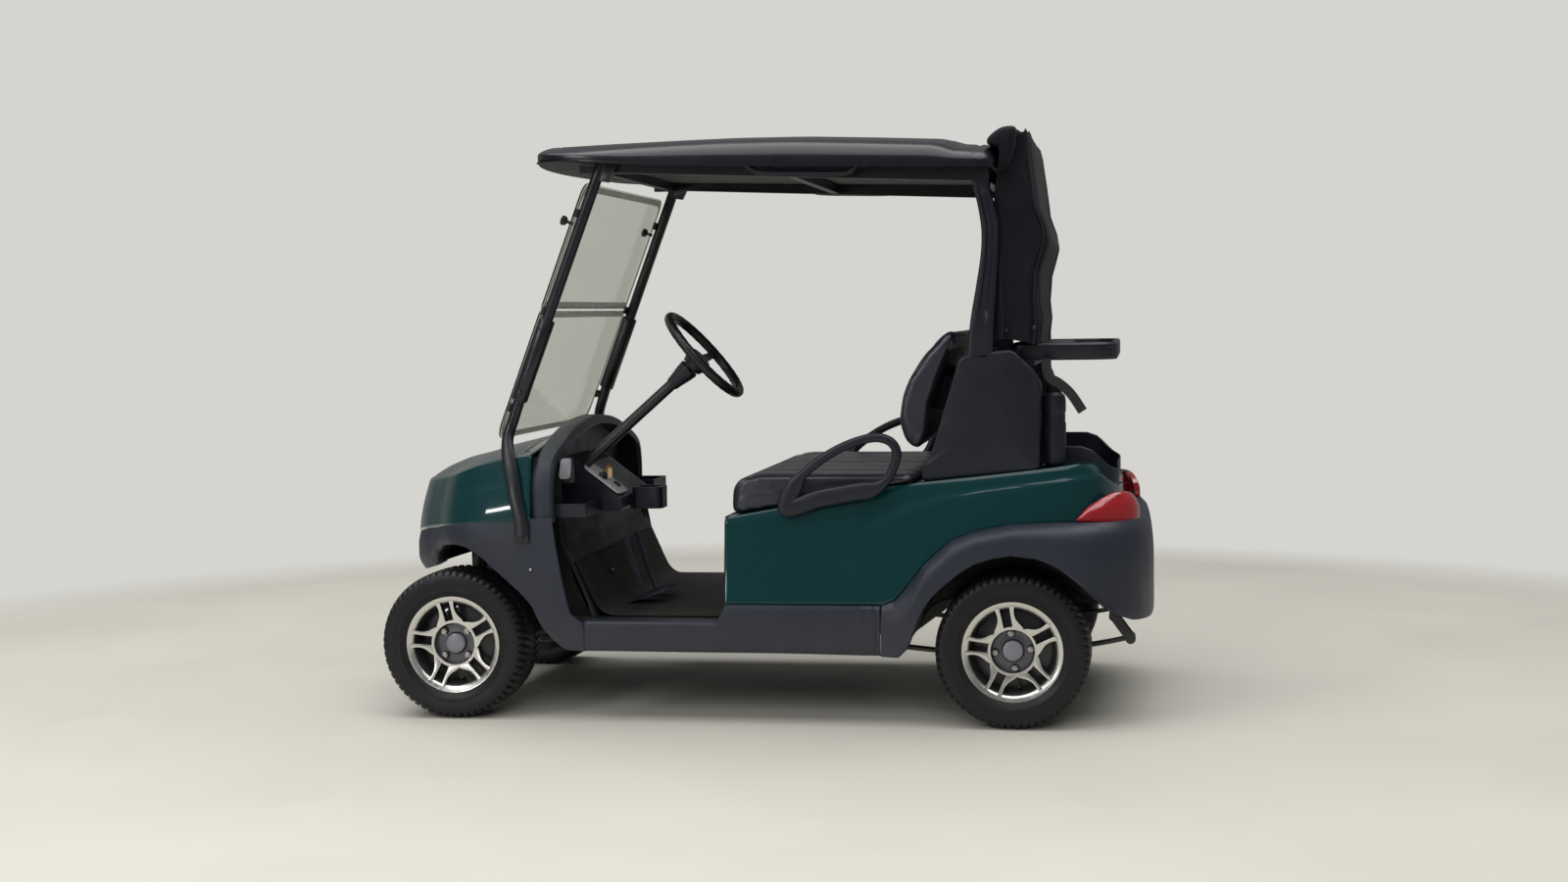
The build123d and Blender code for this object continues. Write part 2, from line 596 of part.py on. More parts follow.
def lamp_form(s, grow):
    """One tail lamp as a closed form, let into the corner of the rear body."""
    with BuildPart() as form:
        with BuildSketch(Plane(origin=(REAR_X, 0, 588 + SEAM - grow))):
            with BuildLine():
                Polyline(
                    (-170 + grow, s * (510 + grow)), (-170 + grow, s * (480 - grow)),
                    (-262 + grow, s * (402 - grow)),
                    (-322 + grow, s * (300 - grow)), (-374, s * (300 - grow)), (-356, s * (400 + grow)),
                    (-290 - grow, s * (470 + grow)), close=True,
                )
            make_face()
        extrude(amount=82 + 2 * grow)
        with BuildSketch(side(s * 400 + 200)):
            with BuildLine():
                brow = ThreePointArc((-175 + grow, 588 - grow), (-236, 640 + grow), (-301, 668 + grow))
                Polyline(brow @ 1, (-380, 640 + grow), (-380, 588 - grow), brow @ 0)
            make_face()
        extrude(amount=400, mode=Mode.INTERSECT)
    return form.part


def rear_cavity():
    """Space below the deck of the rear body, inside its walls."""
    with BuildPart() as form:
        with BuildSketch(REAR.offset(BODY_BASE_Z)):
            with BuildLine():
                add(rear_plan(WALL).line)
            make_face()
        extrude(amount=BODY_DECK_Z - BODY_BASE_Z, taper=BODY_TAPER)
        with BuildSketch(REAR.offset(BODY_BASE_Z - 10)):
            with Locations((SEAT_FRONT_X - WALL - 1000, 0)):
                Rectangle(2000, 2 * BODY_HALF_W + 200)
        extrude(amount=500, mode=Mode.INTERSECT)
    return form.part


with BuildPart() as rear_body:
    with BuildSketch(REAR.offset(BODY_BASE_Z)):
        with BuildLine():
            add(rear_plan().line)
        make_face()
    extrude(amount=560, taper=BODY_TAPER)
    with BuildSketch(side(700)):
        with BuildLine():
            Polyline(
                (SEAT_FRONT_X, SILL_STEP_Z + SEAM), *FLARE_TOP, (-420, 600), (-301, 675),
                (-273, 731), (-231, 748), (-104, 737), (1, 727), (107, 716), (248, 702), (354, 688),
                (SEAT_FRONT_X, 600), close=True,
            )
        make_face()
    extrude(amount=1400, mode=Mode.INTERSECT)
    add(rear_cavity(), mode=Mode.SUBTRACT)
    # seat box opening above the batteries
    with BuildSketch(REAR.offset(550)):
        with Locations(((290 + SEAT_FRONT_X - 30) / 2, 0)):
            Rectangle(SEAT_FRONT_X - 30 - 290, 2 * (BODY_BASE_HALF_W - 106))
    extrude(amount=300, mode=Mode.SUBTRACT)
    # opening of the bag well
    with BuildSketch(REAR.offset(550)):
        with Locations((WELL_X, 0)):
            RectangleRounded(WELL_L, WELL_W, 40)
    extrude(amount=300, mode=Mode.SUBTRACT)
    # pockets of the tail lamps
    for s in SIDES.values():
        add(lamp_form(s, SEAM), mode=Mode.SUBTRACT)
finish(rear_body.part, "rear_body")

with BuildPart() as bagwell_liner:
    with BuildSketch(REAR.offset(WELL_FLOOR_Z)):
        with Locations((WELL_X, 0)):
            RectangleRounded(WELL_L - 2 * SEAM, WELL_W - 2 * SEAM, 40)
            RectangleRounded(WELL_L - 2 * WALL, WELL_W - 2 * WALL, 34, mode=Mode.SUBTRACT)
    extrude(amount=WELL_RIM_Z - WELL_FLOOR_Z)
    with BuildSketch(REAR.offset(WELL_FLOOR_Z)):
        with Locations((WELL_X, 0)):
            RectangleRounded(WELL_L - 2 * SEAM, WELL_W - 2 * SEAM, 40)
    extrude(amount=-WALL)
finish(bagwell_liner.part, "bagwell_liner")

def fender_plan(s, inset=0.0):
    """Outline from above of one rear fender and its half of the bumper."""
    w = FENDER_HALF_W - inset
    tail = -TAIL_OVERHANG + inset
    ahead = SILL_REAR_X + (20 if inset else -SEAM)
    middle = -20 if inset else SEAM / 2
    with BuildLine() as line:
        flare = Polyline(
            (middle, s * middle), (ahead, s * middle), (ahead, s * (BODY_HALF_W - inset)), (300, s * (w - 8)),
            (180, s * w), (-120, s * w),
        )
        corner = ThreePointArc(flare @ 1, (-306, s * (w - 64)), (tail + 12, s * (w - 190)))
        bumper = ThreePointArc(corner @ 1, (tail + 2, s * (w - 390)), (tail, s * middle))
        Line(bumper @ 1, flare @ 0)
    return line


FENDER_LEDGE = 90.0              # the fender's top reaches in below the rear body this far


def fender_cavity(s):
    """Space inside one rear fender, below its ledge."""
    with BuildPart() as form:
        with BuildSketch(REAR.offset(100)):
            with BuildLine():
                add(fender_plan(s, WALL).line)
            make_face()
        extrude(amount=600)
        with BuildSketch(side(700)):
            with BuildLine():
                Polyline(
                    (SILL_REAR_X + 30, 90), (SILL_REAR_X + 30, SILL_STEP_Z - WALL - 2),
                    *[(x, z - WALL - 2) for x, z in FLARE_TOP], (-440, 90), close=True,
                )
            make_face()
        extrude(amount=1400, mode=Mode.INTERSECT)
    return form.part


for name, s in SIDES.items():
    with BuildPart() as rear_fender:
        with BuildSketch(REAR.offset(180)):
            with BuildLine():
                add(fender_plan(s).line)
            make_face()
        extrude(amount=420)
        with BuildSketch(side((FENDER_HALF_W + 10) * (1 + s) / 2)):
            with BuildLine():
                top = Polyline((SILL_REAR_X, SILL_STEP_Z), *[(x, z - SEAM) for x, z in FLARE_TOP],
                               (-420, 300), (-382, 303), (-344, 305), (-308, 323), (-245, 365))
                rear_arch = ThreePointArc(top @ 1, (-139, 463), (1, 500))
                front_arch = ThreePointArc(rear_arch @ 1, (149, 456), (248, 351))
                Polyline(front_arch @ 1, (272, 301), (297, 231), (325, 206), (SILL_REAR_X, 206), top @ 0)
            make_face()
        extrude(amount=FENDER_HALF_W + 10, mode=Mode.INTERSECT)
        add(fender_cavity(s), mode=Mode.SUBTRACT)
        with BuildSketch(REAR.offset(100)):
            with BuildLine():
                add(fender_plan(s, FENDER_LEDGE).line)
            make_face()
        extrude(amount=600, mode=Mode.SUBTRACT)
    finish(rear_fender.part, f"rear_fender_{name}")

with BuildPart() as tail_lamps:
    for s in SIDES.values():
        add(lamp_form(s, 0))
finish(tail_lamps.part, "tail_lamps")

# ================================================================ seats
SEAT_HALF_W = BODY_BASE_HALF_W - 71
SEAT_BACK_HALF_W = SEAT_HALF_W - 20
with BuildPart() as seat_cushion:
    with BuildSketch(side(SEAT_HALF_W)):
        with BuildLine():
            Polyline((SEAT_FRONT_X - 8, 614), (354, 694), (262, 706), (262, 716), (300, 726), (760, 728),
                     (812, 712), (SEAT_FRONT_X - 6, 688), close=True)
        make_face()
    extrude(amount=2 * SEAT_HALF_W)
    fillet(seat_cushion.edges().filter_by(Axis.Y).group_by(Axis.Z)[-1], 8)
finish(seat_cushion.part, "seat_cushion")

with BuildPart() as seat_back:
    with BuildSketch(side(SEAT_BACK_HALF_W)):
        with BuildLine():
            Polyline((282, 802), (322, 836), (335, 880), (320, 950), (300, 1000), (260, 1065), (200, 1130),
                     (166, 1150), (150, 1138), (196, 1040), (244, 920), (258, 830), close=True)
        make_face()
    extrude(amount=2 * SEAT_BACK_HALF_W)
finish(seat_back.part, "seat_back")

ARM_R = 14.5
ARM_Y = BODY_BASE_HALF_W - (622 - BODY_BASE_Z) * math.tan(math.radians(BODY_TAPER)) + SEAM + ARM_R
with BuildPart() as armrests:
    for s in SIDES.values():
        with BuildSketch(side(s * ARM_Y + ARM_R)):
            with BuildLine():
                Polyline(
                    (655, 616), (662, 646), (600, 735), (550, 785), (450, 832), (370, 852), (330, 838),
                    (312, 800), (322, 740), (345, 700), (366, 681), (395, 664), (550, 632), close=True,
                )
            make_face()
            with BuildLine():
                Polyline(
                    (560, 680), (604, 686), (540, 750), (450, 800), (372, 818), (347, 800), (352, 766),
                    (380, 728), (425, 708), close=True,
                )
            make_face(mode=Mode.SUBTRACT)
        extrude(amount=2 * ARM_R)
    fillet(armrests.edges().filter_by(Axis.Y, reverse=True), 6)
finish(armrests.part, "armrests")

# ================================================================ rear support
POST_TOP_Z = ROOF_TOP_Z - 182
SUPPORT_W = 70.0
POST_W = 46.0
with BuildPart() as rear_supports:
    for s in SIDES.values():
        with BuildSketch(side(s * (SUPPORT_Y - SUPPORT_W / 2) + SUPPORT_W / 2)):
            with BuildLine():
                Polyline(
                    (262, 706), (262, 752), (241, 757), (152, 1062), (-3, 1078), (-83, 984), (-76, 757),
                    (-76, 734.7), (1, 727.4), (107, 716.4), (248, 702.4), close=True,
                )
            make_face()
        extrude(amount=SUPPORT_W)
        with BuildSketch(side(s * (SUPPORT_Y - POST_W / 2) + POST_W / 2)):
            with BuildLine():
                Polyline(
                    (131, 1060), (119, 1157), (100, 1267), (86, 1350), (83, 1419),
                    (93, POST_TOP_Z - 74), (107, POST_TOP_Z - 19),
                    (107, POST_TOP_Z), (50, POST_TOP_Z), (59, POST_TOP_Z - 19), (34, 1440),
                    (41, 1267), (55, 1109), (56, 1060), close=True,
                )
            make_face()
        extrude(amount=POST_W)
finish(rear_supports.part, "rear_supports")

with BuildPart() as seat_back_panel:
    with BuildSketch(side(SUPPORT_Y - SUPPORT_W - SEAM)):
        with BuildLine():
            Polyline((236, 745), (222, 745), (132, 1060), (146, 1060), close=True)
        make_face()
    extrude(amount=2 * (SUPPORT_Y - SUPPORT_W - SEAM))
    # brackets that carry the seat back
    for s in SIDES.values():
        with BuildSketch(side(s * 250 + 30)):
            with BuildLine():
                Polyline((180, 900), (247 - SEAM, 900), (244 - SEAM, 919), (212 - SEAM, 999), (150, 1000),
                         close=True)
            make_face()
        extrude(amount=60)
finish(seat_back_panel.part, "seat_back_panel")

with BuildPart() as bag_rack:
    with BuildSketch(Plane(origin=(REAR_X, 0, 1036))):
        with Locations((-141, 0)):
            RectangleRounded(282, 2 * SUPPORT_Y - 176, 30)
        for y in (-190, 190):
            with Locations((-215, y)):
                RectangleRounded(90, 250, 40, mode=Mode.SUBTRACT)
    extrude(amount=56)
    with BuildSketch(side(SUPPORT_Y - SUPPORT_W - SEAM)):
        with Locations((-30, 1050)):
            Rectangle(60, 60)
    extrude(amount=2 * (SUPPORT_Y - SUPPORT_W - SEAM))
finish(bag_rack.part, "bag_rack")

BOTTLE_R = 38.0
BOTTLE_X = -82 - SEAM - BOTTLE_R
BOTTLE_Y = 402.0
BOTTLE_Z = 745.0
with BuildPart() as sand_bottle:
    with BuildSketch(Plane(origin=(REAR_X + BOTTLE_X, BOTTLE_Y, BOTTLE_Z))):
        Circle(BOTTLE_R)
    extrude(amount=205)
    with BuildSketch(Plane(origin=(REAR_X + BOTTLE_X, BOTTLE_Y, BOTTLE_Z + 205))):
        Circle(22)
    extrude(amount=34)
finish(sand_bottle.part, "sand_bottle")

# ================================================================ roof and front struts
ROOF = Plane(origin=(REAR_X, 0, 0))
ROOF_SKIRT_FRONT_Z = ROOF_TOP_Z - 108
ROOF_SKIRT_REAR_Z = ROOF_TOP_Z - 148
ROOF_WALL = 8.0
ROOF_SIDE_LEAN = 6.0             # the roof's sides lean in this far, from their base to the shoulder
ROOF_SIDE_BASE_Z = ROOF_TOP_Z - 204
ROOF_SHOULDER = 88.0             # height of the crown over the shoulder


def roof_form(inset):
    """The roof as a closed crowned slab, moved inward by inset."""
    t = inset
    with BuildPart() as form:
        with BuildSketch(ROOF.offset(ROOF_TOP_Z - 184)):
            with BuildLine():
                w = ROOF_HALF_W - t
                f = ROOF_FRONT_X - t
                r = ROOF_REAR_X + t
                nose = ThreePointArc((f - 60, -w + 130), (f, 0), (f - 60, w - 130))
                left = ThreePointArc(nose @ 1, (f - 95, w - 40), (f - 190, w))
                side_l = Line(left @ 1, (r + 60, w))
                back_l = ThreePointArc(side_l @ 1, (r + 18, w - 18), (r, w - 60))
                back = Line(back_l @ 1, (r, 60 - w))
                back_r = ThreePointArc(back @ 1, (r + 18, 18 - w), (r + 60, -w))
                side_r = Line(back_r @ 1, (f - 190, -w))
                ThreePointArc(side_r @ 1, (f - 95, 40 - w), nose @ 0)
            make_face()
        extrude(amount=220)
        with BuildSketch(side(700)):
            with BuildLine():
                drop = 60 if t else 0
                crest = ROOF_TOP_Z - t
                top = ThreePointArc((217, crest - 18), (828, crest), (ROOF_FRONT_X, crest - 38))
                Polyline(
                    top @ 1, (ROOF_FRONT_X, ROOF_SKIRT_FRONT_Z - drop),
                    (ROOF_REAR_X, ROOF_SKIRT_REAR_Z - drop),
                    (ROOF_REAR_X, crest - 44), (182, crest - 38), top @ 0,
                )
            make_face()
        extrude(amount=1400, mode=Mode.INTERSECT)
        with BuildSketch(across(REAR_X)):
            with BuildLine():
                w = ROOF_HALF_W - t
                crest = ROOF_TOP_Z - t
                crown = ThreePointArc((80 - w, crest - 42), (0, crest), (w - 80, crest - 42))
                edge = w - ROOF_SIDE_LEAN
                left = ThreePointArc(crown @ 1, (w - 28, crest - 56), (edge, crest - ROOF_SHOULDER))
                right = ThreePointArc(crown @ 0, (28 - w, crest - 56), (-edge, crest - ROOF_SHOULDER))
                Polyline(left @ 1, (w, ROOF_SIDE_BASE_Z), (-w, ROOF_SIDE_BASE_Z), right @ 1)
            make_face()
        extrude(amount=ROOF_FRONT_X + 30, mode=Mode.INTERSECT)
    return form.part


ROOF_LEDGE_X = 160.0             # the roof steps down behind this
ROOF_LEDGE_Z = ROOF_TOP_Z - 82


def stepped_roof(inset):
    """The roof's closed form with its lower ledge at the rear, moved inward by inset."""
    with BuildPart() as form:
        add(roof_form(inset))
        with BuildSketch(side(700)):
            with BuildLine():
                Polyline(
                    (ROOF_LEDGE_X + 24 + inset, ROOF_TOP_Z + 16),
                    (ROOF_LEDGE_X + inset, ROOF_LEDGE_Z - inset),
                    (-20, ROOF_LEDGE_Z - inset), (-20, ROOF_TOP_Z + 16), close=True,
                )
            make_face()
        extrude(amount=1400, mode=Mode.SUBTRACT)
    return form.part


with BuildPart() as roof:
    add(stepped_roof(0))
    add(stepped_roof(ROOF_WALL), mode=Mode.SUBTRACT)
finish(roof.part, "roof")

RAIL_FRONT_X = WHEELBASE - 514   # the roof's side rails level out ahead of this, from the rear axle
RAIL_TOP_REAR_Z = ROOF_TOP_Z - 144   # top of the roof's side rails at the rear and at the front
RAIL_TOP_FRONT_Z = ROOF_TOP_Z - 107
RAIL_LOW_Z = RAIL_TOP_FRONT_Z - ROOF_TUBE      # underside of the level part of the rails
with BuildPart() as roof_frame:
    for s in SIDES.values():
        with BuildSketch(side(s * ROOF_TUBE_Y + ROOF_TUBE / 2)):
            with BuildLine():
                Polyline(
                    (RAIL_FRONT_X + 112, RAIL_LOW_Z), (RAIL_FRONT_X + 112, RAIL_TOP_FRONT_Z),
                    (RAIL_FRONT_X, RAIL_TOP_FRONT_Z), (60, RAIL_TOP_REAR_Z), (60, POST_TOP_Z + SEAM),
                    (107, POST_TOP_Z + SEAM), (RAIL_FRONT_X, RAIL_LOW_Z), close=True,
                )
            make_face()
        extrude(amount=ROOF_TUBE)
    for x, z in ((RAIL_FRONT_X + 50, RAIL_LOW_Z), (640, RAIL_LOW_Z - 22), (80, RAIL_LOW_Z - 45)):
        with BuildSketch(side(ROOF_TUBE_Y)):
            with Locations((x, z + ROOF_TUBE / 2)):
                Rectangle(ROOF_TUBE, ROOF_TUBE)
        extrude(amount=2 * ROOF_TUBE_Y)
finish(roof_frame.part, "roof_frame")

LINER_T = 4.0
HANDLE_TOP_Z = ROOF_TOP_Z - 137
HANDLE_W = 22.0
HANDLE_T = 16.0
with BuildPart() as roof_liner:
    add(roof_form(ROOF_WALL + SEAM))
    with BuildSketch(side(700)):
        with BuildLine():
            slope = (RAIL_TOP_FRONT_Z - RAIL_TOP_REAR_Z) / (RAIL_FRONT_X - 60)
            low = RAIL_TOP_REAR_Z + SEAM - 60 * slope
            far = ROOF_FRONT_X + 30
            high = low + far * slope
            Polyline((0, low), (far, high), (far, high + LINER_T), (0, low + LINER_T), close=True)
        make_face()
    extrude(amount=1400, mode=Mode.INTERSECT)
finish(roof_liner.part, "roof_liner")

# inner face of the roof's side at the top of the handles' ends
HANDLE_LEAN = ROOF_SIDE_LEAN * (HANDLE_TOP_Z + 6 + HANDLE_T / 2 - ROOF_SIDE_BASE_Z) / (
    ROOF_TOP_Z - ROOF_WALL - ROOF_SHOULDER - ROOF_SIDE_BASE_Z
)
HANDLE_Y = ROOF_HALF_W - ROOF_WALL - HANDLE_LEAN - SEAM - HANDLE_W / 2
with BuildPart() as roof_handles:
    for s in SIDES.values():
        with BuildSketch(side(s * HANDLE_Y + HANDLE_W / 2)):
            with BuildLine():
                Line((735, HANDLE_TOP_Z + 6), (700, HANDLE_TOP_Z - 9))
                Line((700, HANDLE_TOP_Z - 9), (480, HANDLE_TOP_Z - 16))
                Line((480, HANDLE_TOP_Z - 16), (440, HANDLE_TOP_Z - 4))
            trace(line_width=HANDLE_T)
        extrude(amount=HANDLE_W)
finish(roof_handles.part, "roof_handles")

with BuildPart() as front_struts:
    for s in SIDES.values():
        with BuildLine() as path:
            FilletPolyline(
                (REAR_X + STRUT_TOP[0], s * STRUT_TOP_Y, STRUT_TOP[1]),
                (REAR_X + STRUT_KNEE[0], s * STRUT_KNEE_Y, STRUT_KNEE[1]),
                (REAR_X + STRUT_FOOT[0], s * STRUT_FOOT_Y, STRUT_FOOT[1] - 52),
                radius=60,
            )
        with BuildSketch(Plane(origin=path.line @ 0, z_dir=path.line % 0)):
            Circle(STRUT_R)
        sweep()
        foot = (REAR_X + STRUT_FOOT[0], s * (BODY_HALF_W - 3), STRUT_FOOT[1] - 60 + SEAM)
        with BuildSketch(Plane(origin=foot)):
            Rectangle(40, 30)
        extrude(amount=14)
        # telescoping sleeve
        low = path.line @ 0 + (path.line % 0) * 710
        with BuildSketch(Plane(origin=low, z_dir=path.line % 0)):
            Circle(STRUT_R + 8)
        extrude(amount=-250)
finish(front_struts.part, "front_struts")

# windshield: two panes ahead of the struts
LEAN = math.atan2(STRUT_KNEE[0] - STRUT_TOP[0], STRUT_TOP[1] - STRUT_KNEE[1])
GLASS_T = 5.0
GLASS_HALF_W = STRUT_KNEE_Y + 3
GLASS_GAP = STRUT_R + 10         # strut's axis to the back of the glass
GLASS_FOOT = 42.0                # foot of the glass above the strut's knee, along the strut
STRUT_LEN = math.hypot(STRUT_KNEE[0] - STRUT_TOP[0], STRUT_TOP[1] - STRUT_KNEE[1])
glass_plane = Plane(
    origin=(
        REAR_X + STRUT_KNEE[0] - GLASS_FOOT * math.sin(LEAN) + GLASS_GAP * math.cos(LEAN), 0,
        STRUT_KNEE[1] + GLASS_FOOT * math.cos(LEAN) + GLASS_GAP * math.sin(LEAN),
    ),
    x_dir=(0, 1, 0), z_dir=(math.cos(LEAN), 0, math.sin(LEAN)),
)
FOLD_AT = 345.0
GLASS_TOP_AT = 745.0
with BuildPart() as windshield_lower:
    with BuildSketch(glass_plane):
        with Locations((0, FOLD_AT / 2)):
            RectangleRounded(2 * GLASS_HALF_W, FOLD_AT - 6, 20)
    extrude(amount=GLASS_T)
finish(windshield_lower.part, "windshield_lower")
with BuildPart() as windshield_upper:
    with BuildSketch(glass_plane):
        with Locations((0, (FOLD_AT + GLASS_TOP_AT) / 2)):
            RectangleRounded(2 * GLASS_HALF_W, GLASS_TOP_AT - FOLD_AT - 6, 40)
    extrude(amount=GLASS_T)
finish(windshield_upper.part, "windshield_upper")

with BuildPart() as windshield_clips:
    for s in SIDES.values():
        # at the knob, at the hinge and at the foot of the glass
        for at in (40, FOLD_AT, GLASS_TOP_AT - 95):
            y = STRUT_KNEE_Y + (STRUT_TOP_Y - STRUT_KNEE_Y) * (at + GLASS_FOOT) / STRUT_LEN
            with BuildSketch(glass_plane.offset(STRUT_R + SEAM - GLASS_GAP)):
                with Locations((s * (y - 6), at)):
                    Rectangle(30, 24)
            extrude(amount=GLASS_GAP - STRUT_R - 2 * SEAM)
finish(windshield_clips.part, "windshield_clips")

# ================================================================ bag cover
COVER_HALF_W = SUPPORT_Y - 8
with BuildPart() as bag_cover:
    with BuildSketch(side(COVER_HALF_W)):
        with BuildLine():
            t = ROOF_TOP_Z
            Polyline((-16.2, t - 38), (-90, t - 54), (-93, t - 132), (-114, 1495), (-138, 1440), (-145, 1398),
                     (-117, 1309), (-114, 1233), (-119, 1178), (-112, 1126), (24, 1109), (28, t - 208),
                     (-9.4, t - 144), close=True)
        make_face()
    extrude(amount=2 * COVER_HALF_W)
    with BuildSketch(side(COVER_HALF_W - 30)):
        with BuildLine():
            Polyline((-30, t - 104), (-80, t - 144), (-100, 1398), (-90, 1080), (10, 1080), (6, t - 208),
                     close=True)
        make_face()
    extrude(amount=2 * COVER_HALF_W - 60, mode=Mode.SUBTRACT)
finish(bag_cover.part, "bag_cover")

with BuildPart() as bag_cover_bow:
    with BuildSketch(side(COVER_HALF_W + 30)):
        with BuildLine():
            Polyline((66, ROOF_LEDGE_Z + SEAM), (48, t - 49), (10, t - 30), (-16, t - 34), (-9, t - 144),
                     (17, t - 156), (38, t - 152), (ROOF_REAR_X - SEAM, ROOF_LEDGE_Z + SEAM), close=True)
        make_face()
    extrude(amount=2 * COVER_HALF_W + 60)
    with BuildSketch(side(COVER_HALF_W + 10)):
        with BuildLine():
            Polyline((34, t - 164), (34, t - 64), (10, t - 48), (-9, t - 50), (-16, t - 174), close=True)
        make_face()
    extrude(amount=2 * COVER_HALF_W + 20, mode=Mode.SUBTRACT)
finish(bag_cover_bow.part, "bag_cover_bow")

# ================================================================ steering
tilt = math.radians(STEER_TILT)
column_dir = Vector(-math.cos(tilt), 0, math.sin(tilt))
wheel_plane = Plane(origin=(REAR_X + STEER_HUB_X, STEER_Y, STEER_HUB_Z), x_dir=(0, 1, 0), z_dir=column_dir)
WHEEL_DISH = 30.0                # hub face below the rim's plane
COLUMN_TOP = 60.0                # top of the column tube below the rim's plane
CONSOLE_SLOPE = (CONSOLE_TOP[1] - CONSOLE_LOW[1]) / (CONSOLE_TOP[0] - CONSOLE_LOW[0])
COLUMN_FOOT = (STEER_HUB_Z - CONSOLE_LOW[1] + (CONSOLE_LOW[0] - STEER_HUB_X) * CONSOLE_SLOPE) / (
    math.sin(tilt) + math.cos(tilt) * CONSOLE_SLOPE
)
FOOT_LEAN = math.pi / 2 - tilt - math.atan(CONSOLE_SLOPE)
COLUMN_LEN = COLUMN_FOOT - COLUMN_TOP - COLUMN_R * abs(math.tan(FOOT_LEAN)) - SEAM
with BuildPart() as steering_wheel:
    with BuildSketch(Plane(origin=wheel_plane.from_local_coords((STEER_R, 0, 0)), z_dir=wheel_plane.y_dir)):
        Circle(STEER_GRIP_R)
    revolve(axis=Axis(wheel_plane.origin, column_dir))
    with BuildSketch(wheel_plane.offset(-WHEEL_DISH)):
        Circle(46)
    extrude(amount=22)
    for a in (0, 120, 240):
        with BuildSketch(wheel_plane.offset(-WHEEL_DISH + 6)):
            with PolarLocations((STEER_R + 30) / 2, 1, start_angle=a - 90):
                Rectangle(STEER_R - 30, 30)
        extrude(amount=20)
    with BuildSketch(wheel_plane.offset(-WHEEL_DISH)):
        Circle(SHAFT_R)
    extrude(amount=-COLUMN_LEN + 10)
finish(steering_wheel.part, "steering_wheel")

with BuildPart() as steering_column:
    with BuildSketch(wheel_plane.offset(-COLUMN_TOP)):
        Circle(COLUMN_R)
        Circle(SHAFT_R + SEAM, mode=Mode.SUBTRACT)
    extrude(amount=-COLUMN_LEN)
finish(steering_column.part, "steering_column")

# ================================================================ front axle
KNUCKLE_H = 70.0
for name, s in SIDES.items():
    pin = (FRONT_X, s * KINGPIN_Y, AXLE_Z)
    hub_in_y = FRONT_WHEEL_Y + HUB_BACK_Y - DRUM_W
    with BuildPart() as knuckle:
        with BuildSketch(Plane(origin=(FRONT_X, s * KINGPIN_Y, AXLE_Z - KNUCKLE_H))):
            Circle(16)
        extrude(amount=2 * KNUCKLE_H)
        with BuildSketch(Plane(origin=pin, x_dir=(1, 0, 0), z_dir=(0, s, 0))):
            Circle(24)
        extrude(amount=hub_in_y - KINGPIN_Y - 6)
        with BuildSketch(Plane(origin=pin, x_dir=(1, 0, 0), z_dir=(0, s, 0))):
            Circle(SPINDLE_R)
        extrude(amount=hub_in_y - KINGPIN_Y + DRUM_W - 14)
        with BuildSketch(Plane(origin=(FRONT_X, s * KINGPIN_Y, RACK_Z + 12))):
            with BuildLine():
                end = -s * STEER_ARM_IN
                Polyline((0, -12), (0, 12), (-STEER_ARM, end + 12), (-STEER_ARM - 14, end),
                         (-STEER_ARM, end - 12), close=True)
            make_face()
        extrude(amount=12)
    finish(knuckle.part, f"knuckle_{name}")

ARM_CLEAR = SEAM
ARM_EYE_R = 20.0
with BuildPart() as front_suspension:
    for s in SIDES.values():
        for z in (AXLE_Z - KNUCKLE_H - ARM_CLEAR - 16, AXLE_Z + KNUCKLE_H + ARM_CLEAR):
            with BuildSketch(Plane(origin=(FRONT_X, 0, z))):
                with BuildLine():
                    Polyline(
                        (-18, s * (KINGPIN_Y - 4)), (18, s * (KINGPIN_Y - 4)),
                        (60, s * (RAIL_Y + RAIL_W / 2 + 5)),
                        (60, s * (RAIL_Y + RAIL_W / 2)), (-60, s * (RAIL_Y + RAIL_W / 2)),
                        (-60, s * (RAIL_Y + RAIL_W / 2 + 5)), close=True,
                    )
                make_face()
                with Locations((0, s * KINGPIN_Y)):
                    Circle(ARM_EYE_R)
            extrude(amount=16)
    # tower between the rails that carries both pairs of arms
    with BuildSketch(Plane(origin=(FRONT_X, 0, AXLE_Z - KNUCKLE_H - ARM_CLEAR - 16))):
        with Locations((0, 0)):
            Rectangle(110, 2 * (RAIL_Y + RAIL_W / 2 + 1))
    extrude(amount=RAIL_Z - (AXLE_Z - KNUCKLE_H - ARM_CLEAR - 16))
finish(front_suspension.part, "front_suspension")

SHOCK_R = 24.0
for end, x, y, z0 in (
    ("front", FRONT_X, 285, AXLE_Z + KNUCKLE_H + ARM_CLEAR + 16 + SEAM),
    ("rear", REAR_X, 250, AXLE_Z + AXLE_TUBE_R + SEAM),
):
    with BuildPart() as shocks:
        for s in SIDES.values():
            with BuildSketch(Plane(origin=(x, s * y, z0))):
                Circle(SHOCK_R)
            extrude(amount=SHOCK_TOP_Z - SEAM - z0)
    finish(shocks.part, f"shocks_{end}")

RACK_X = -STEER_ARM
with BuildPart() as steering_rack:
    with BuildSketch(side(KINGPIN_Y - STEER_ARM_IN, FRONT_X)):
        with Locations((RACK_X, RACK_Z)):
            Circle(9)
    extrude(amount=2 * (KINGPIN_Y - STEER_ARM_IN))
    for s in SIDES.values():
        with BuildSketch(Plane(origin=(FRONT_X + RACK_X, s * (KINGPIN_Y - STEER_ARM_IN), RACK_Z - 11))):
            Circle(13)
        extrude(amount=22)
finish(steering_rack.part, "steering_rack")

with BuildPart() as rack_housing:
    with BuildSketch(side(150, FRONT_X)):
        with Locations((RACK_X, RACK_Z)):
            Circle(RACK_HOUSING_R)
            Circle(9 + SEAM, mode=Mode.SUBTRACT)
    extrude(amount=300)
finish(rack_housing.part, "rack_housing")

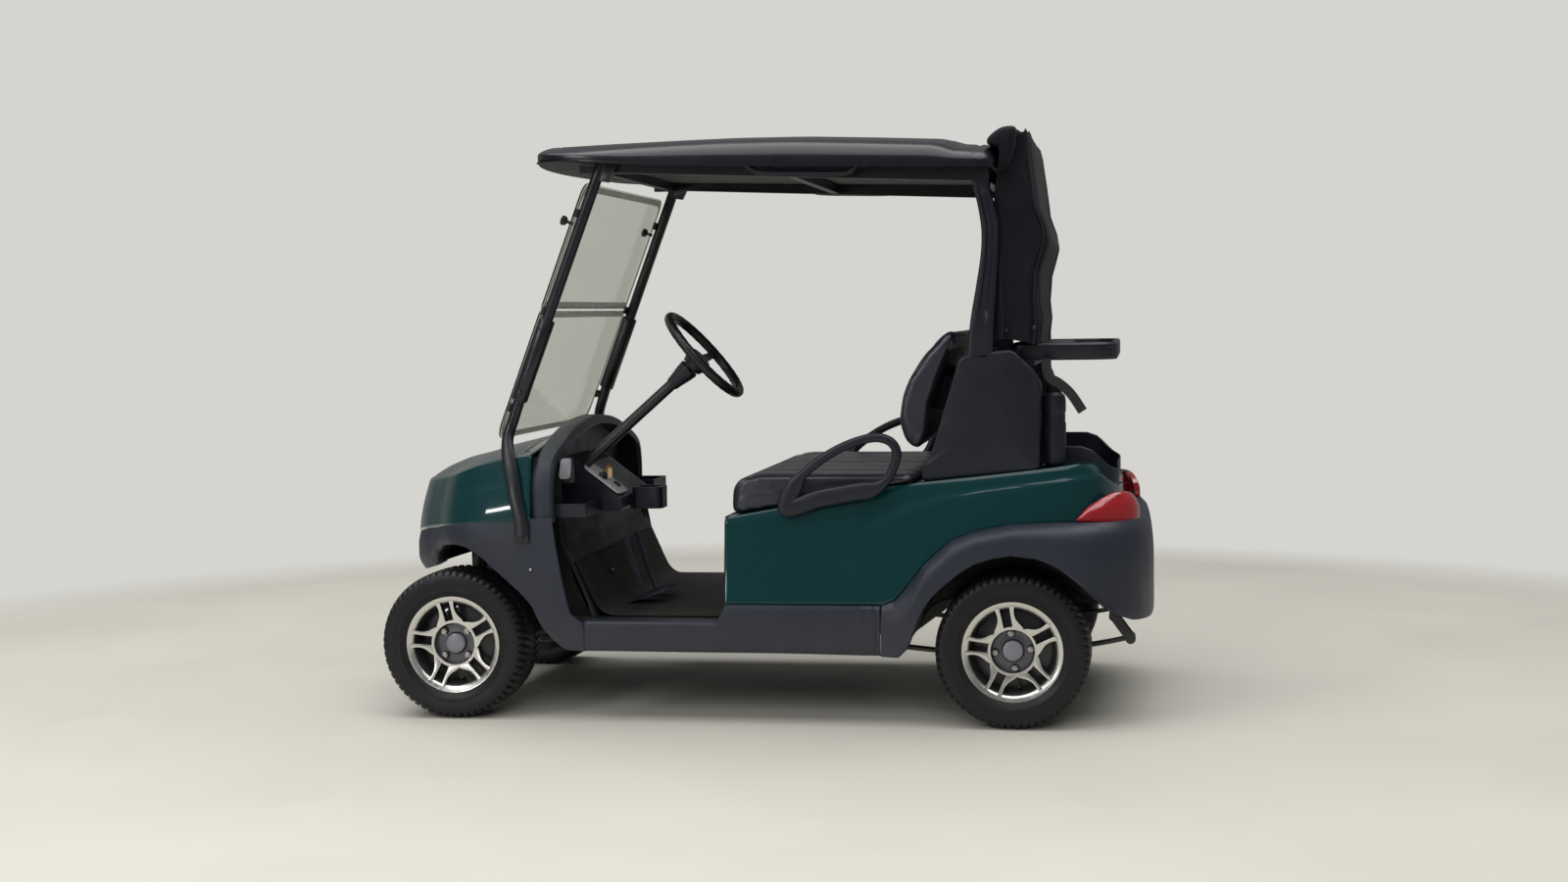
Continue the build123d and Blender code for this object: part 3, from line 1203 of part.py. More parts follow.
# ================================================================ controls
with BuildPart() as key_plate:
    with BuildSketch(side(238)):
        with BuildLine():
            x, z = CONSOLE_TOP
            Polyline((x, z + 0.6), (x - 124, z - 93.4), (x - 128, z - 89), (x - 4, z + 5), close=True)
        make_face()
    extrude(amount=230)
finish(key_plate.part, "key_plate")

PEDAL_X = FLOOR_FRONT_X - 84     # middle of the pedals, from the rear axle
with BuildPart() as pedals:
    for y, width in ((215, 90), (70, 62)):
        with BuildSketch(side(y + width / 2)):
            with BuildLine():
                Polyline((PEDAL_X - 68, 352), (PEDAL_X + 63, 306), (PEDAL_X + 59, 306), (PEDAL_X - 70, 344),
                         close=True)
            make_face()
        extrude(amount=width)
        with BuildSketch(side(y + 6)):
            with BuildLine():
                Polyline((PEDAL_X - 2, 320), (PEDAL_X + 8, 326), (PEDAL_X + 38, 395), (PEDAL_X + 70, 507),
                         (PEDAL_X + 58, 510), (PEDAL_X + 24, 400), close=True)
            make_face()
        extrude(amount=12)
finish(pedals.part, "pedals")
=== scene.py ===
"""Two-seat golf cart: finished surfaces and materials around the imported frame.

Shapes are worked out in millimetres.  Their first number is the distance ahead of the rear
axle, the second the distance to the driver's side of the middle, the third the height.
"""

import math

import bmesh
import bpy
import numpy as np
from mathutils import Matrix


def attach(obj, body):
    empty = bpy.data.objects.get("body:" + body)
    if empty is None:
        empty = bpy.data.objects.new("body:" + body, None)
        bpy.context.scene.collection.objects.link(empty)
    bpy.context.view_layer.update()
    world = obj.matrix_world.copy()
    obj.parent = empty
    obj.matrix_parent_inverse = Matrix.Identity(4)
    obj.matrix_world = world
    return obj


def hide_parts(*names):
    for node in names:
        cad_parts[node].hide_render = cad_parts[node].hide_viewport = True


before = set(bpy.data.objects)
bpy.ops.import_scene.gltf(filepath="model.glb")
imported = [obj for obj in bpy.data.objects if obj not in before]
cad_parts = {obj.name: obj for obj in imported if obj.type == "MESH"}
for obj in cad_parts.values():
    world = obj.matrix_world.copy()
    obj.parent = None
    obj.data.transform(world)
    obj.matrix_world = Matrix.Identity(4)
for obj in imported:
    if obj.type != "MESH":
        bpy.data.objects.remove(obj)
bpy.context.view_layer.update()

bl_info = {
    "name": "Golf cart",
    "version": (1, 0, 0),
    "blender": (4, 5, 0),
    "location": "3D View > Sidebar > Golf cart",
    "description": "Builds the finished golf cart around its solid model",
    "category": "Object",
}

# ---------------------------------------------------------------- places that the solids fix
REAR_X = -762.0                  # the rear axle in the frame
WHEELBASE = 1664.0
AXLE_Z = 222.0
WHEELS = (
    # name, distance ahead of the rear axle, middle y, side, turn of the spokes and of the nuts
    ("front_left", WHEELBASE, 473.0, 1, 79.0, 44.0),
    ("front_right", WHEELBASE, 473.0, -1, 79.0, 44.0),
    ("rear_left", 0.0, 488.0, 1, 80.0, 84.0),
    ("rear_right", 0.0, 488.0, -1, 80.0, 84.0),
)
COLUMN_TILT = math.radians(41)
STEER_HUB = np.array((938.0, 290.0, 1072.0))
BODY_TAPER = math.tan(math.radians(7.5))     # how far the green rear body leans in per height
FULL_TURN = 2 * np.pi


# ================================================================ arrays of points
def linear(code):
    """An sRGB hex code as the linear colour that the shaders read."""
    parts = np.array([int(code[i:i + 2], 16) for i in (1, 3, 5)]) / 255
    lin = np.where(parts <= 0.04045, parts / 12.92, ((parts + 0.055) / 1.055) ** 2.4)
    return (*(float(c) for c in lin), 1.0)


def through(points, count, loop=False):
    """A smooth curve through points: each stretch is a cubic that leaves and meets its ends
    along the line between their neighbours.  count places, evenly spread over the stretches."""
    p = np.asarray(points, float)
    n = len(p)
    t = np.linspace(0, n if loop else n - 1, count, endpoint=not loop)
    i = np.minimum(t.astype(int), n - 1 if loop else n - 2)
    u = (t - i)[:, None]
    a, b, c, d = (p[k % n] if loop else p[np.clip(k, 0, n - 1)] for k in (i - 1, i, i + 1, i + 2))
    return 0.5 * (2 * b + (c - a) * u + (2 * a - 5 * b + 4 * c - d) * u**2
                  + (3 * b - a - 3 * c + d) * u**3)


def cornered(points, radius, count=8, loop=False):
    """A run of straight lines whose corners are rounded: at each corner a parabola joins the
    points that lie radius before and after it."""
    p = np.asarray(points, float)
    back, on = np.roll(p, 1, 0) - p, np.roll(p, -1, 0) - p
    lb, lo = np.linalg.norm(back, axis=1), np.linalg.norm(on, axis=1)
    r = np.minimum(np.broadcast_to(np.asarray(radius, float), lb.shape), 0.49 * np.minimum(lb, lo))
    start = p + back / lb[:, None] * r[:, None]
    end = p + on / lo[:, None] * r[:, None]
    t = np.linspace(0, 1, count)[None, :, None]
    arcs = (1 - t) ** 2 * start[:, None] + 2 * t * (1 - t) * p[:, None] + t**2 * end[:, None]
    if loop:
        return arcs.reshape(-1, p.shape[1])
    return np.vstack([p[:1], arcs[1:-1].reshape(-1, p.shape[1]), p[-1:]])


def even(path, count, loop=False):
    """The path again, with count points at equal distances along it."""
    p = np.asarray(path, float)
    if loop:
        p = np.vstack([p, p[:1]])
    run = np.concatenate([[0], np.cumsum(np.linalg.norm(np.diff(p, axis=0), axis=1))])
    want = np.linspace(0, run[-1], count, endpoint=not loop)
    return np.stack([np.interp(want, run, p[:, k]) for k in range(p.shape[1])], 1)


def unit(vectors):
    """Vectors scaled to length 1."""
    v = np.asarray(vectors, float)
    return v / np.linalg.norm(v, axis=-1, keepdims=True)


def ring(across, count=16, tall=None):
    """An ellipse of count points: across times the cosine of the angle, tall times its sine."""
    a = np.linspace(0, FULL_TURN, count, endpoint=False)
    return np.stack([across * np.cos(a), (across if tall is None else tall) * np.sin(a)], -1)


def carried(path, profile, across=(0, 1, 0), loop=False):
    """A profile carried along a path: each of its points stands off the path by its first number
    along 'across', squared to the path, and by its second along the third direction.
    The profile may be one (points, 2) or one for each place on the path (places, points, 2)."""
    p = np.asarray(path, float)
    run = unit(np.roll(p, -1, 0) - np.roll(p, 1, 0) if loop else np.gradient(p, axis=0))
    a = np.broadcast_to(np.asarray(across, float), p.shape)
    a = unit(a - (a * run).sum(1, keepdims=True) * run)
    b = np.cross(run, a)
    prof = np.asarray(profile, float)
    if prof.ndim == 2:
        prof = np.broadcast_to(prof, (len(p), *prof.shape))
    return p[:, None] + a[:, None] * prof[..., :1] + b[:, None] * prof[..., 1:]


def turned(profile, count=64):
    """A profile of (radius, height) turned about the height: points [angle, place, xyz] with
    x and z round the axle and y the height, so a wheel's axle is along y."""
    p = np.asarray(profile, float)
    a = np.linspace(0, FULL_TURN, count, endpoint=False)[:, None]
    r, h = p[None, :, 0], p[None, :, 1]
    return np.stack([r * np.cos(a), np.broadcast_to(h, (count, len(p))), r * np.sin(a)], -1)


def side_on(xz, y):
    """Points (x, z) drawn from the side, set y beside the middle."""
    return np.stack([xz[..., 0], np.broadcast_to(y, xz.shape[:-1]), xz[..., 1]], -1)


def ease(x, low, high):
    """0 below low, 1 above high, and 3t2 - 2t3 between them."""
    t = np.clip((np.asarray(x, float) - low) / (high - low), 0, 1)
    return t * t * (3 - 2 * t)


def bell(x, width):
    """1 at 0, falling to both sides as e to the power of minus the square of x over width."""
    return np.exp(-((x / width) ** 2))


def signed(x, power):
    """The size of x raised to a power, with x's sign."""
    return np.sign(x) * np.abs(x) ** power


def read(table, x):
    """A height read off a table of (distance, height) by straight lines."""
    t = np.array(sorted(table), float)
    return np.interp(x, t[:, 0], t[:, 1])


def mirrored(points):
    """The same points on the other side of the cart."""
    return np.asarray(points) * (1, -1, 1)


def plan_frame(plan, at, middle=None):
    """Places on a plan curve at the given shares of its points, and the directions square to
    it; these point away from middle when it is given."""
    n = len(plan) - 1
    fine = through(plan, n * 16 + 1)
    run = np.linspace(0, n, len(fine))
    slope = np.gradient(fine, axis=0)
    xy, d = (np.stack([np.interp(at, run, k[:, i]) for i in (0, 1)], 1) for k in (fine, slope))
    d = unit(d)
    out = np.stack([d[:, 1], -d[:, 0]], 1)
    if middle:
        out = out * np.sign((out * (xy - middle)).sum(1))[:, None]
    return xy, out


def spaced(turn, before, end, after):
    """Places from 0 to end: a number of them before the turn and another from there on."""
    return np.concatenate([np.linspace(0, turn, before, endpoint=False),
                           np.linspace(turn, end, after)])


def standing(xy, out, rows):
    """Rows of points over a plan: one for each (height, distance outwards)."""
    full = (len(xy), 1)
    return [np.hstack([xy + out * np.broadcast_to(np.reshape(off, (-1, 1)), full),
                       np.broadcast_to(np.reshape(z, (-1, 1)), full)]) for z, off in rows]


# ================================================================ surfaces
def grid(points, loop=(False, False), ends=(False, False), paint=0):
    """A surface over points[u, v]: a square between each four neighbours.  loop joins the last
    row or column to the first, and ends closes the first or last row with a fan to its middle.
    Returns corners, squares, triangles and the number of its material."""
    pts = np.asarray(points, float)
    nu, nv = pts.shape[:2]
    index = np.arange(nu * nv).reshape(nu, nv)
    if loop[0]:
        index = np.vstack([index, index[:1]])
    if loop[1]:
        index = np.hstack([index, index[:, :1]])
    quads = np.stack([index[:-1, :-1], index[1:, :-1], index[1:, 1:], index[:-1, 1:]], -1)
    verts = pts.reshape(-1, 3)
    fans = []
    for wanted, row, order in ((ends[0], index[0], 1), (ends[1], index[-1], -1)):
        if wanted:
            hub = np.full(len(row) - 1, len(verts))
            verts = np.vstack([verts, verts[row].mean(0)])
            fans.append(np.stack([*(row[:-1], row[1:])[::order], hub], -1))
    tris = np.vstack(fans) if fans else np.zeros((0, 3), int)
    return verts, quads.reshape(-1, 4), tris, paint


def tube(points, paint=0):
    """A surface over points[u, v] that joins round its columns and is closed at both ends."""
    return grid(points, (False, True), (True, True), paint)


def lathe(profile, count, paint=0, closed=False):
    """A profile turned about y, joined to itself if it is closed."""
    return grid(turned(profile, count), (True, closed), paint=paint)


def moved(surface, place=(0, 0, 0), turn=None, flip=False):
    """A surface turned by a 3x3 matrix, mirrored to the other side if flip, and moved."""
    verts, quads, tris, paint = surface
    v = verts if turn is None else verts @ np.asarray(turn, float).T
    if flip:
        v = v * (1, -1, 1)
    return v + np.asarray(place, float), quads, tris, paint


def outward(surface, middle=None):
    """The same surface with its faces turned away from its middle: the sum over the faces of
    area normal times distance from the middle is made positive."""
    verts, quads, tris, paint = surface
    mid = verts.mean(0) if middle is None else np.asarray(middle, float)
    faces = np.vstack([quads[:, :3], quads[:, [0, 2, 3]], tris])
    a, b, c = (verts[faces[:, k]] - mid for k in range(3))
    if (a * np.cross(b, c)).sum() < 0:
        quads, tris = quads[:, ::-1], tris[:, ::-1]
    return verts, quads, tris, paint


def both(shapes):
    """The surfaces of the left side and their mirror images."""
    return shapes + [moved(s, flip=True) for s in shapes]


def square_to(axis, up=(0, 0, 1)):
    """A turn that takes y to the axis: its columns are up x axis, the axis, and their product."""
    y, u = unit(axis), np.asarray(up, float)
    if abs(y @ u) > 0.99:
        u = np.array((1.0, 0, 0))
    x = unit(np.cross(y, u))
    return np.stack([x, y, np.cross(x, y)], 1)


def rod(start, end, radius, count=16, paint=0, top=None, chamfer=1.0):
    """A round bar between two points, with its ends' edges cut back by the chamfer."""
    a, b = np.asarray(start, float), np.asarray(end, float)
    length = np.linalg.norm(b - a)
    r2 = radius if top is None else top
    prof = [(radius - chamfer, 0), (radius, chamfer), (r2, length - chamfer),
            (r2 - chamfer, length)]
    verts, quads, _, _ = moved(lathe(prof, count), a, square_to(b - a))
    fans = []
    for k, order in ((0, -1), (len(prof) - 1, 1)):
        row = np.arange(count + 1) % count * len(prof) + k
        hub = np.full(count, len(verts))
        verts = np.vstack([verts, verts[row[:-1]].mean(0)])
        fans.append(np.stack([*(row[:-1], row[1:])[::order], hub], -1))
    return outward((verts, quads, np.vstack(fans), paint))


def brick(low, high, chamfer=1.5, paint=0):
    """A block with cut edges: a rounded outline carried up through four heights."""
    lo, hi = np.minimum(low, high).astype(float), np.maximum(low, high).astype(float)
    mid, half = (lo + hi) / 2, (hi - lo) / 2
    c = min(chamfer, 0.45 * half.min())
    rows = []
    for z, cut in ((-half[2], c), (c - half[2], 0), (half[2] - c, 0), (half[2], c)):
        w, d = half[0] - cut, half[1] - cut
        out = [(w, d - c), (w - c, d), (c - w, d), (-w, d - c), (-w, c - d), (c - w, -d),
               (w - c, -d), (w, c - d)]
        rows.append([(x + mid[0], y + mid[1], z + mid[2]) for x, y in out])
    return outward(tube(np.array(rows), paint))


def slab(outline, y0, y1, paint=0, edge=0.0, steps=3):
    """A plate seen from the side: the outline (x, z) carried from y0 to y1, its rims drawn in
    towards the middle by edge on a quarter circle."""
    o = np.asarray(outline, float)
    mid = o.mean(0)
    span = np.linalg.norm(o - mid, axis=1).mean()
    a = np.linspace(0, np.pi / 2, steps) if edge else np.array([np.pi / 2])
    inset = np.concatenate([edge * (1 - np.sin(a)), edge * (1 - np.sin(a))[::-1]])
    step = np.sign(y1 - y0) * edge * (1 - np.cos(a))
    y = np.concatenate([y0 + step, (y1 - step)[::-1]])
    xz = mid + (o - mid) * (1 - inset / span)[:, None, None]
    return outward(tube(side_on(xz, y[:, None]), paint))


# ================================================================ objects
def to_mesh(mesh, points):
    """Writes millimetres ahead of the rear axle into a mesh's vertices."""
    mesh.vertices.foreach_set("co", ((points + (REAR_X, 0, 0)) / 1000).astype(np.float32).ravel())


def from_mesh(mesh):
    """The places of a mesh's vertices in the frame, in metres."""
    co = np.empty(len(mesh.vertices) * 3, np.float32)
    mesh.vertices.foreach_get("co", co)
    return co.reshape(-1, 3)


def piece(name, surfaces, finish, nodes=(), body="chassis", angle=35.0, wall=0.0,
          middle=None, sharp=True):
    """One object from surfaces in millimetres: welded, its faces turned outwards, given its
    materials and a wall inwards if asked, and tied to its body."""
    surfaces = [outward(s, middle) for s in surfaces]
    verts = np.vstack([s[0] for s in surfaces])
    offs = np.concatenate([[0], np.cumsum([len(s[0]) for s in surfaces])[:-1]])
    quads, tris = (np.vstack([s[k] + o for s, o in zip(surfaces, offs)]) for k in (1, 2))
    paint = np.concatenate([np.full(len(s[k]), s[3]) for k in (1, 2) for s in surfaces])
    mesh = bpy.data.meshes.new(name)
    mesh.vertices.add(len(verts))
    to_mesh(mesh, verts)
    mesh.loops.add(quads.size + tris.size)
    mesh.loops.foreach_set("vertex_index", np.concatenate([quads.ravel(), tris.ravel()]))
    mesh.polygons.add(len(quads) + len(tris))
    starts = np.concatenate([np.arange(len(quads)) * 4, quads.size + np.arange(len(tris)) * 3])
    mesh.polygons.foreach_set("loop_start", starts)
    mesh.polygons.foreach_set("material_index", paint)
    mesh.update(calc_edges=True)
    mesh.validate()
    shaped = bmesh.new()
    shaped.from_mesh(mesh)
    bmesh.ops.remove_doubles(shaped, verts=shaped.verts, dist=2e-6)
    bmesh.ops.dissolve_degenerate(shaped, edges=shaped.edges, dist=1e-7)
    shaped.to_mesh(mesh)
    shaped.free()
    for material in finish if isinstance(finish, list) else [finish]:
        mesh.materials.append(material)
    mesh.shade_smooth()
    if sharp:
        mesh.set_sharp_from_angle(angle=math.radians(angle))
    obj = bpy.data.objects.new(name, mesh)
    bpy.context.scene.collection.objects.link(obj)
    if wall:
        solid = obj.modifiers.new("wall", "SOLIDIFY")
        solid.thickness, solid.offset, solid.use_even_offset = wall / 1000, -1, True
    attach(obj, body)
    if nodes:
        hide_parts(*nodes)
    return obj


def dress(material, *nodes):
    """Gives solid nodes that stay visible their material."""
    for name in nodes:
        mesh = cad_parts[name].data
        mesh.materials.clear()
        mesh.materials.append(material)


# ================================================================ materials
def put(tree, kind, values=None, links=None, **settings):
    """Adds a node: settings are its properties, values its free sockets, links its fed ones."""
    node = tree.nodes.new(kind)
    for key, value in settings.items():
        setattr(node, key, value)
    for key, value in (values or {}).items():
        node.inputs[key].default_value = value
    for key, source in (links or {}).items():
        tree.links.new(source, node.inputs[key])
    return node


def ramp(tree, source, low, high, start=0.0, end=1.0):
    """Maps a value from low..high to start..end."""
    return put(tree, "ShaderNodeMapRange", {"From Min": low, "From Max": high, "To Min": start,
                                            "To Max": end}, {"Value": source}).outputs[0]


def blend(tree, amount, dark, lite):
    """Mixes two colours, of which the first may be another node's output."""
    node = put(tree, "ShaderNodeMix", {7: lite}, {"Factor": amount}, data_type="RGBA")
    if isinstance(dark, tuple):
        node.inputs[6].default_value = dark
    else:
        tree.links.new(dark, node.inputs[6])
    return node.outputs[2]


def finish_of(name, colour, roughness, shader=None, vary=0.12, vary_mm=60.0, rough_vary=0.08,
              grain_mm=0.0, grain=0.0, wave_mm=0.0, wave=0.0, dust=0.0, dust_to=0.35,
              cells=False, stretch=(1, 1, 1)):
    """A finish on object coordinates: a colour that drifts darker and lighter over vary_mm,
    a roughness that drifts with it, a grain of grain_mm raised by grain, a long wave, and
    dust that fades out dust_to metres above the ground."""
    colour = linear(colour) if isinstance(colour, str) else colour
    mat = bpy.data.materials.new(name)
    mat.use_nodes = True
    tree = mat.node_tree
    tree.nodes.clear()
    out = put(tree, "ShaderNodeOutputMaterial")
    bsdf = put(tree, "ShaderNodeBsdfPrincipled", shader)
    tree.links.new(bsdf.outputs[0], out.inputs["Surface"])
    where = put(tree, "ShaderNodeTexCoord").outputs["Object"]
    drift = put(tree, "ShaderNodeTexNoise", {"Scale": 1000 / vary_mm, "Detail": 4.0,
                                             "Roughness": 0.6}, {"Vector": where}).outputs["Fac"]
    dark, lite = ((*(min(1.0, c * k) for c in colour[:3]), 1.0) for k in (1 - vary, 1 + vary))
    tint = blend(tree, drift, dark, lite)
    if dust:
        height = put(tree, "ShaderNodeSeparateXYZ", links={"Vector": where}).outputs["Z"]
        patch = put(tree, "ShaderNodeTexNoise", {"Scale": 14.0, "Detail": 6.0},
                    {"Vector": where}).outputs["Fac"]
        fade = ramp(tree, height, 0.0, dust_to, dust, 0.0)
        amount = put(tree, "ShaderNodeMath", links={0: fade, 1: patch}, operation="MULTIPLY")
        tint = blend(tree, amount.outputs[0], tint, linear("#8A8272"))
    tree.links.new(tint, bsdf.inputs["Base Color"])
    rough = ramp(tree, drift, 0.3, 0.7, max(0.02, roughness - rough_vary),
                 min(1.0, roughness + rough_vary))
    tree.links.new(rough, bsdf.inputs["Roughness"])
    normal = None
    for size, depth, kind in ((wave_mm, wave, False), (grain_mm, grain, cells)):
        if not (size and depth):
            continue
        place = put(tree, "ShaderNodeMapping", {"Scale": stretch}, {"Vector": where}).outputs[0]
        if kind:
            gap = put(tree, "ShaderNodeTexVoronoi", {"Scale": 1000 / size}, {"Vector": place},
                      feature="DISTANCE_TO_EDGE").outputs["Distance"]
            height = ramp(tree, gap, 0.0, 0.25)
        else:
            height = put(tree, "ShaderNodeTexNoise", {"Scale": 1000 / size, "Detail": 3.0},
                         {"Vector": place}).outputs["Fac"]
        bump = put(tree, "ShaderNodeBump", {"Strength": 1.0, "Distance": depth / 1000},
                   {"Height": height, **({"Normal": normal} if normal else {})})
        normal = bump.outputs[0]
    if normal:
        tree.links.new(normal, bsdf.inputs["Normal"])
    return mat


# ================================================================ wheels
def tyre_shape(tread_mm):
    """A tyre: a closed section turned about the axle.  Its outer row is sunk by tread_mm where
    two zigzag grooves run round it or a cross groove passes, 60 to a turn and skewed."""
    outline = [(128, 76), (137, 79), (146, 84), (153, 90.5), (160, 93.2), (163, 95.2), (166, 94.4),
               (177, 96.8), (188, 98), (198, 97.5), (206, 95), (213, 89), (218.5, 81)]
    crown = [(AXLE_Z - 0.03 * (abs(y) / 10) ** 2, y) for y in np.linspace(75, -75, 31)]
    outside = outline + crown + [(r, -y) for r, y in outline[::-1]]
    inside = [(128, -62), (150, -68), (190, -80), (200, 0), (190, 80), (150, 68), (128, 62)]
    section = np.array(outside + inside)
    turns, blocks = 360, 60
    pts = turned(section, turns)
    phase = (np.arange(turns) * blocks / turns)[:, None]
    r, w = section[None, :, 0], section[None, :, 1]
    zig = 3.5 * np.sin(FULL_TURN * phase)
    around = (np.exp(-(((np.abs(w) - 27 - zig) / 3.6) ** 4))
              + np.exp(-(((w - 0.8 * zig) / 2.8) ** 4))) * (np.abs(w) < 60)
    skew = np.abs(w) * 0.012 + 0.5 * (w < 0)
    cross = 0.5 + 0.5 * np.cos(FULL_TURN * (phase + skew))
    slots = ease(cross, 0.80, 0.93) * (0.35 + 0.65 * (np.abs(w) > 28))
    tread = ease(r, 203, 214) * (np.arange(len(section)) < len(outside))
    sink = tread_mm * tread * np.clip(np.maximum(around, slots), 0, 1)
    pts[..., ::2] *= ((r - sink) / r)[..., None]
    return outward(grid(pts, (True, True)))


def spoke_shapes(turn, slot_mm, depth):
    """The machined face of a rim: ten bars in five twins.  Each bar lies between a slot edge
    and a bay edge, both given along and beside the twin's middle line, and falls from the lip
    to the hub; its section drops straight down at both sides."""
    slot_edge = through([(131, slot_mm), (112, slot_mm - 0.8), (95, slot_mm - 1.4),
                         (80, slot_mm - 1.8), (72, slot_mm - 1.6), (66, slot_mm - 0.6), (60, 24),
                         (51.2, 37.2)], 30)
    bay_edge = through([(130, 28.8), (116, 25), (103, 24), (91, 26), (80, 31), (69.5, 37.6),
                        (62.5, 41.2), (58.2, 42.6)], 30)
    t = np.linspace(0, 1, 6)
    face = slot_edge[:, None] * (1 - t[None, :, None]) + bay_edge[:, None] * t[None, :, None]
    along, beside = face[..., 0], face[..., 1]
    far = np.clip((np.hypot(along, beside) - 62) / 66, 0, 1.05)
    height = 70 + 11 * far + 0.9 * np.sin(np.pi * t)[None]
    surfaces = []
    for side in (1, -1):
        for angle in math.radians(turn) + np.arange(5) * FULL_TURN / 5:
            c, s = math.cos(angle), math.sin(angle)
            top = np.stack([along * c - side * beside * s, height,
                            along * s + side * beside * c], -1)
            low = top - (0, depth, 0)
            surfaces.append(grid(top))
            for k in (0, -1):
                edge = np.stack([top[:, k], top[:, k] - (0, 1.2, 0), low[:, k]], 1)
                surfaces.append(grid(edge, paint=1))
            surfaces.append(grid(low, paint=1))
    return surfaces


def rim_shapes(turn, nuts, slot_mm):
    """A rim: lip, barrel and hub cup turned about the axle, ten bars, nuts, cap and valve."""
    lip = [(127, 62), (127, 76), (131, 80.2), (133.5, 81.6), (141.5, 84.6), (144, 85), (144.5, 84),
           (144.5, 81), (137, 78), (128, 74)]
    barrel = [(127, 74), (126, 66), (119, 44), (117, 20), (117, -50), (127, -62), (134, -76),
              (144.5, -80), (144.5, -85), (140, -85), (128, -78), (118, -60), (110, -48), (110, 20),
              (113, 44), (121, 62), (124, 72)]
    cup = [(71, 66), (71.5, 69.6), (69.5, 71.2), (64.5, 71), (62.6, 69.5), (61.6, 62), (60.6, 50),
           (57, 46.2), (50, 45.4), (40, 46.8), (34, 47.5), (31, 46), (31, 40), (60, 40), (66, 46),
           (69, 60)]
    back = [(31, 44), (58, 38), (80, 30), (112, 26), (112, 22), (78, 24), (56, 30), (31, 34)]
    collar = [(62.4, 70.2), (63.4, 71.6), (70.4, 72), (71.6, 70.6), (71.6, 60), (62.4, 60)]
    well = [(9.4, 45.0), (10.6, 48.6), (11.8, 48.8), (12.8, 45.0)]
    nut = [(0.6, 60), (5.4, 60), (6.0, 59.2), (9.4, 58.2), (10.2, 56.5), (10.2, 46)]
    cap = [(0.5, 65.6), (14, 65.2), (24, 63.6), (28, 61.4), (29.6, 58), (29.6, 46)]
    shapes = [lathe(profile, count, paint, True) for profile, count, paint in (
        (lip, 96, 0), (barrel, 72, 1), (cup, 72, 2), (back, 48, 1), (collar, 72, 0))]
    shapes += spoke_shapes(turn, slot_mm, 26)
    for a in np.radians(nuts + 90 * np.arange(4)):
        place = (math.cos(a) * 50.8, 0, math.sin(a) * 50.8)
        shapes += [moved(lathe(well, 24, 1, True), place), moved(lathe(nut, 6, 3), place)]
    shapes.append(lathe(cap, 48, 4))
    a = math.radians(turn + 180)
    valve = np.array((math.cos(a), 0, math.sin(a)))
    shapes.append(rod(valve * 112 + (0, 44, 0), valve * 104 + (0, 62, 0), 4.2, 14, 5))
    shapes.append(rod(valve * 104 + (0, 62, 0), valve * 101.5 + (0, 68, 0), 4.8, 14, 5))
    return shapes


def hub_shapes(r):
    """The brake drum or front hub seen through the bays: turned steps with cooling ribs."""
    profile = [(6, 23), (r * 0.55, 22.6), (r * 0.6, 20.5), (r - 8, 20), (r - 2, 18), (r, 14),
               (r - 3, 9), (r, 4), (r - 3, -1), (r, -6), (r - 3, -11), (r, -16), (r - 2, -21.6),
               (16, -21.8), (14.6, -12)]
    return [lathe(profile, 60)]


# ================================================================ front body
FRONT_BODY_PLAN = np.array([
    # distance ahead of the rear axle and beside the middle, from the nose back along the left
    (1923.5, 0), (1917, 90), (1898, 180), (1866, 265), (1822, 345), (1776, 402), (1737, 450),
    (1702, 500), (1668, 537), (1622, 560), (1560, 572), (1480, 577.5), (1400, 578), (1250, 578),
])
FASCIA_TOP = [(1250, 603), (1450, 600), (1600, 589), (1700, 576), (1795, 561), (1870, 540),
              (1925, 520)]
FASCIA_LOW = [(1250, 210), (1312, 213), (1347, 241), (1373, 270), (1388, 288), (1400, 329),
              (1425, 358), (1450, 385), (1490, 420), (1529, 453), (1562, 482), (1594, 503),
              (1620, 515), (1650, 520), (1690, 519), (1725, 508), (1752, 488), (1770, 458),
              (1790, 440), (1850, 418), (1925, 402)]
DOOR_EDGE = [(205, 1250), (288, 1250), (318, 1294), (412, 1315), (523, 1335), (606, 1347)]
HOOD_CREASE = [(1404, 786), (1480, 777), (1560, 760), (1640, 738), (1700, 722), (1760, 706),
               (1800, 698), (1860, 688), (1925, 682)]
HOOD_RIDGE = [(1404, 838), (1450, 829), (1541, 806), (1626, 786), (1668, 772), (1756, 750),
              (1797, 733), (1850, 701), (1884, 684)]
HOOD_LEAN = [(1404, 24), (1640, 30), (1760, 26), (1850, 30), (1925, 40)]


def from_middle(points):
    """Both halves of a skin whose first column lies on the middle line."""
    return np.concatenate([mirrored(points[:0:-1]), points], 0)


def to_middle(points):
    """Both halves of a skin whose last column lies on the middle line."""
    return np.concatenate([points, mirrored(points[-2::-1])], 0)


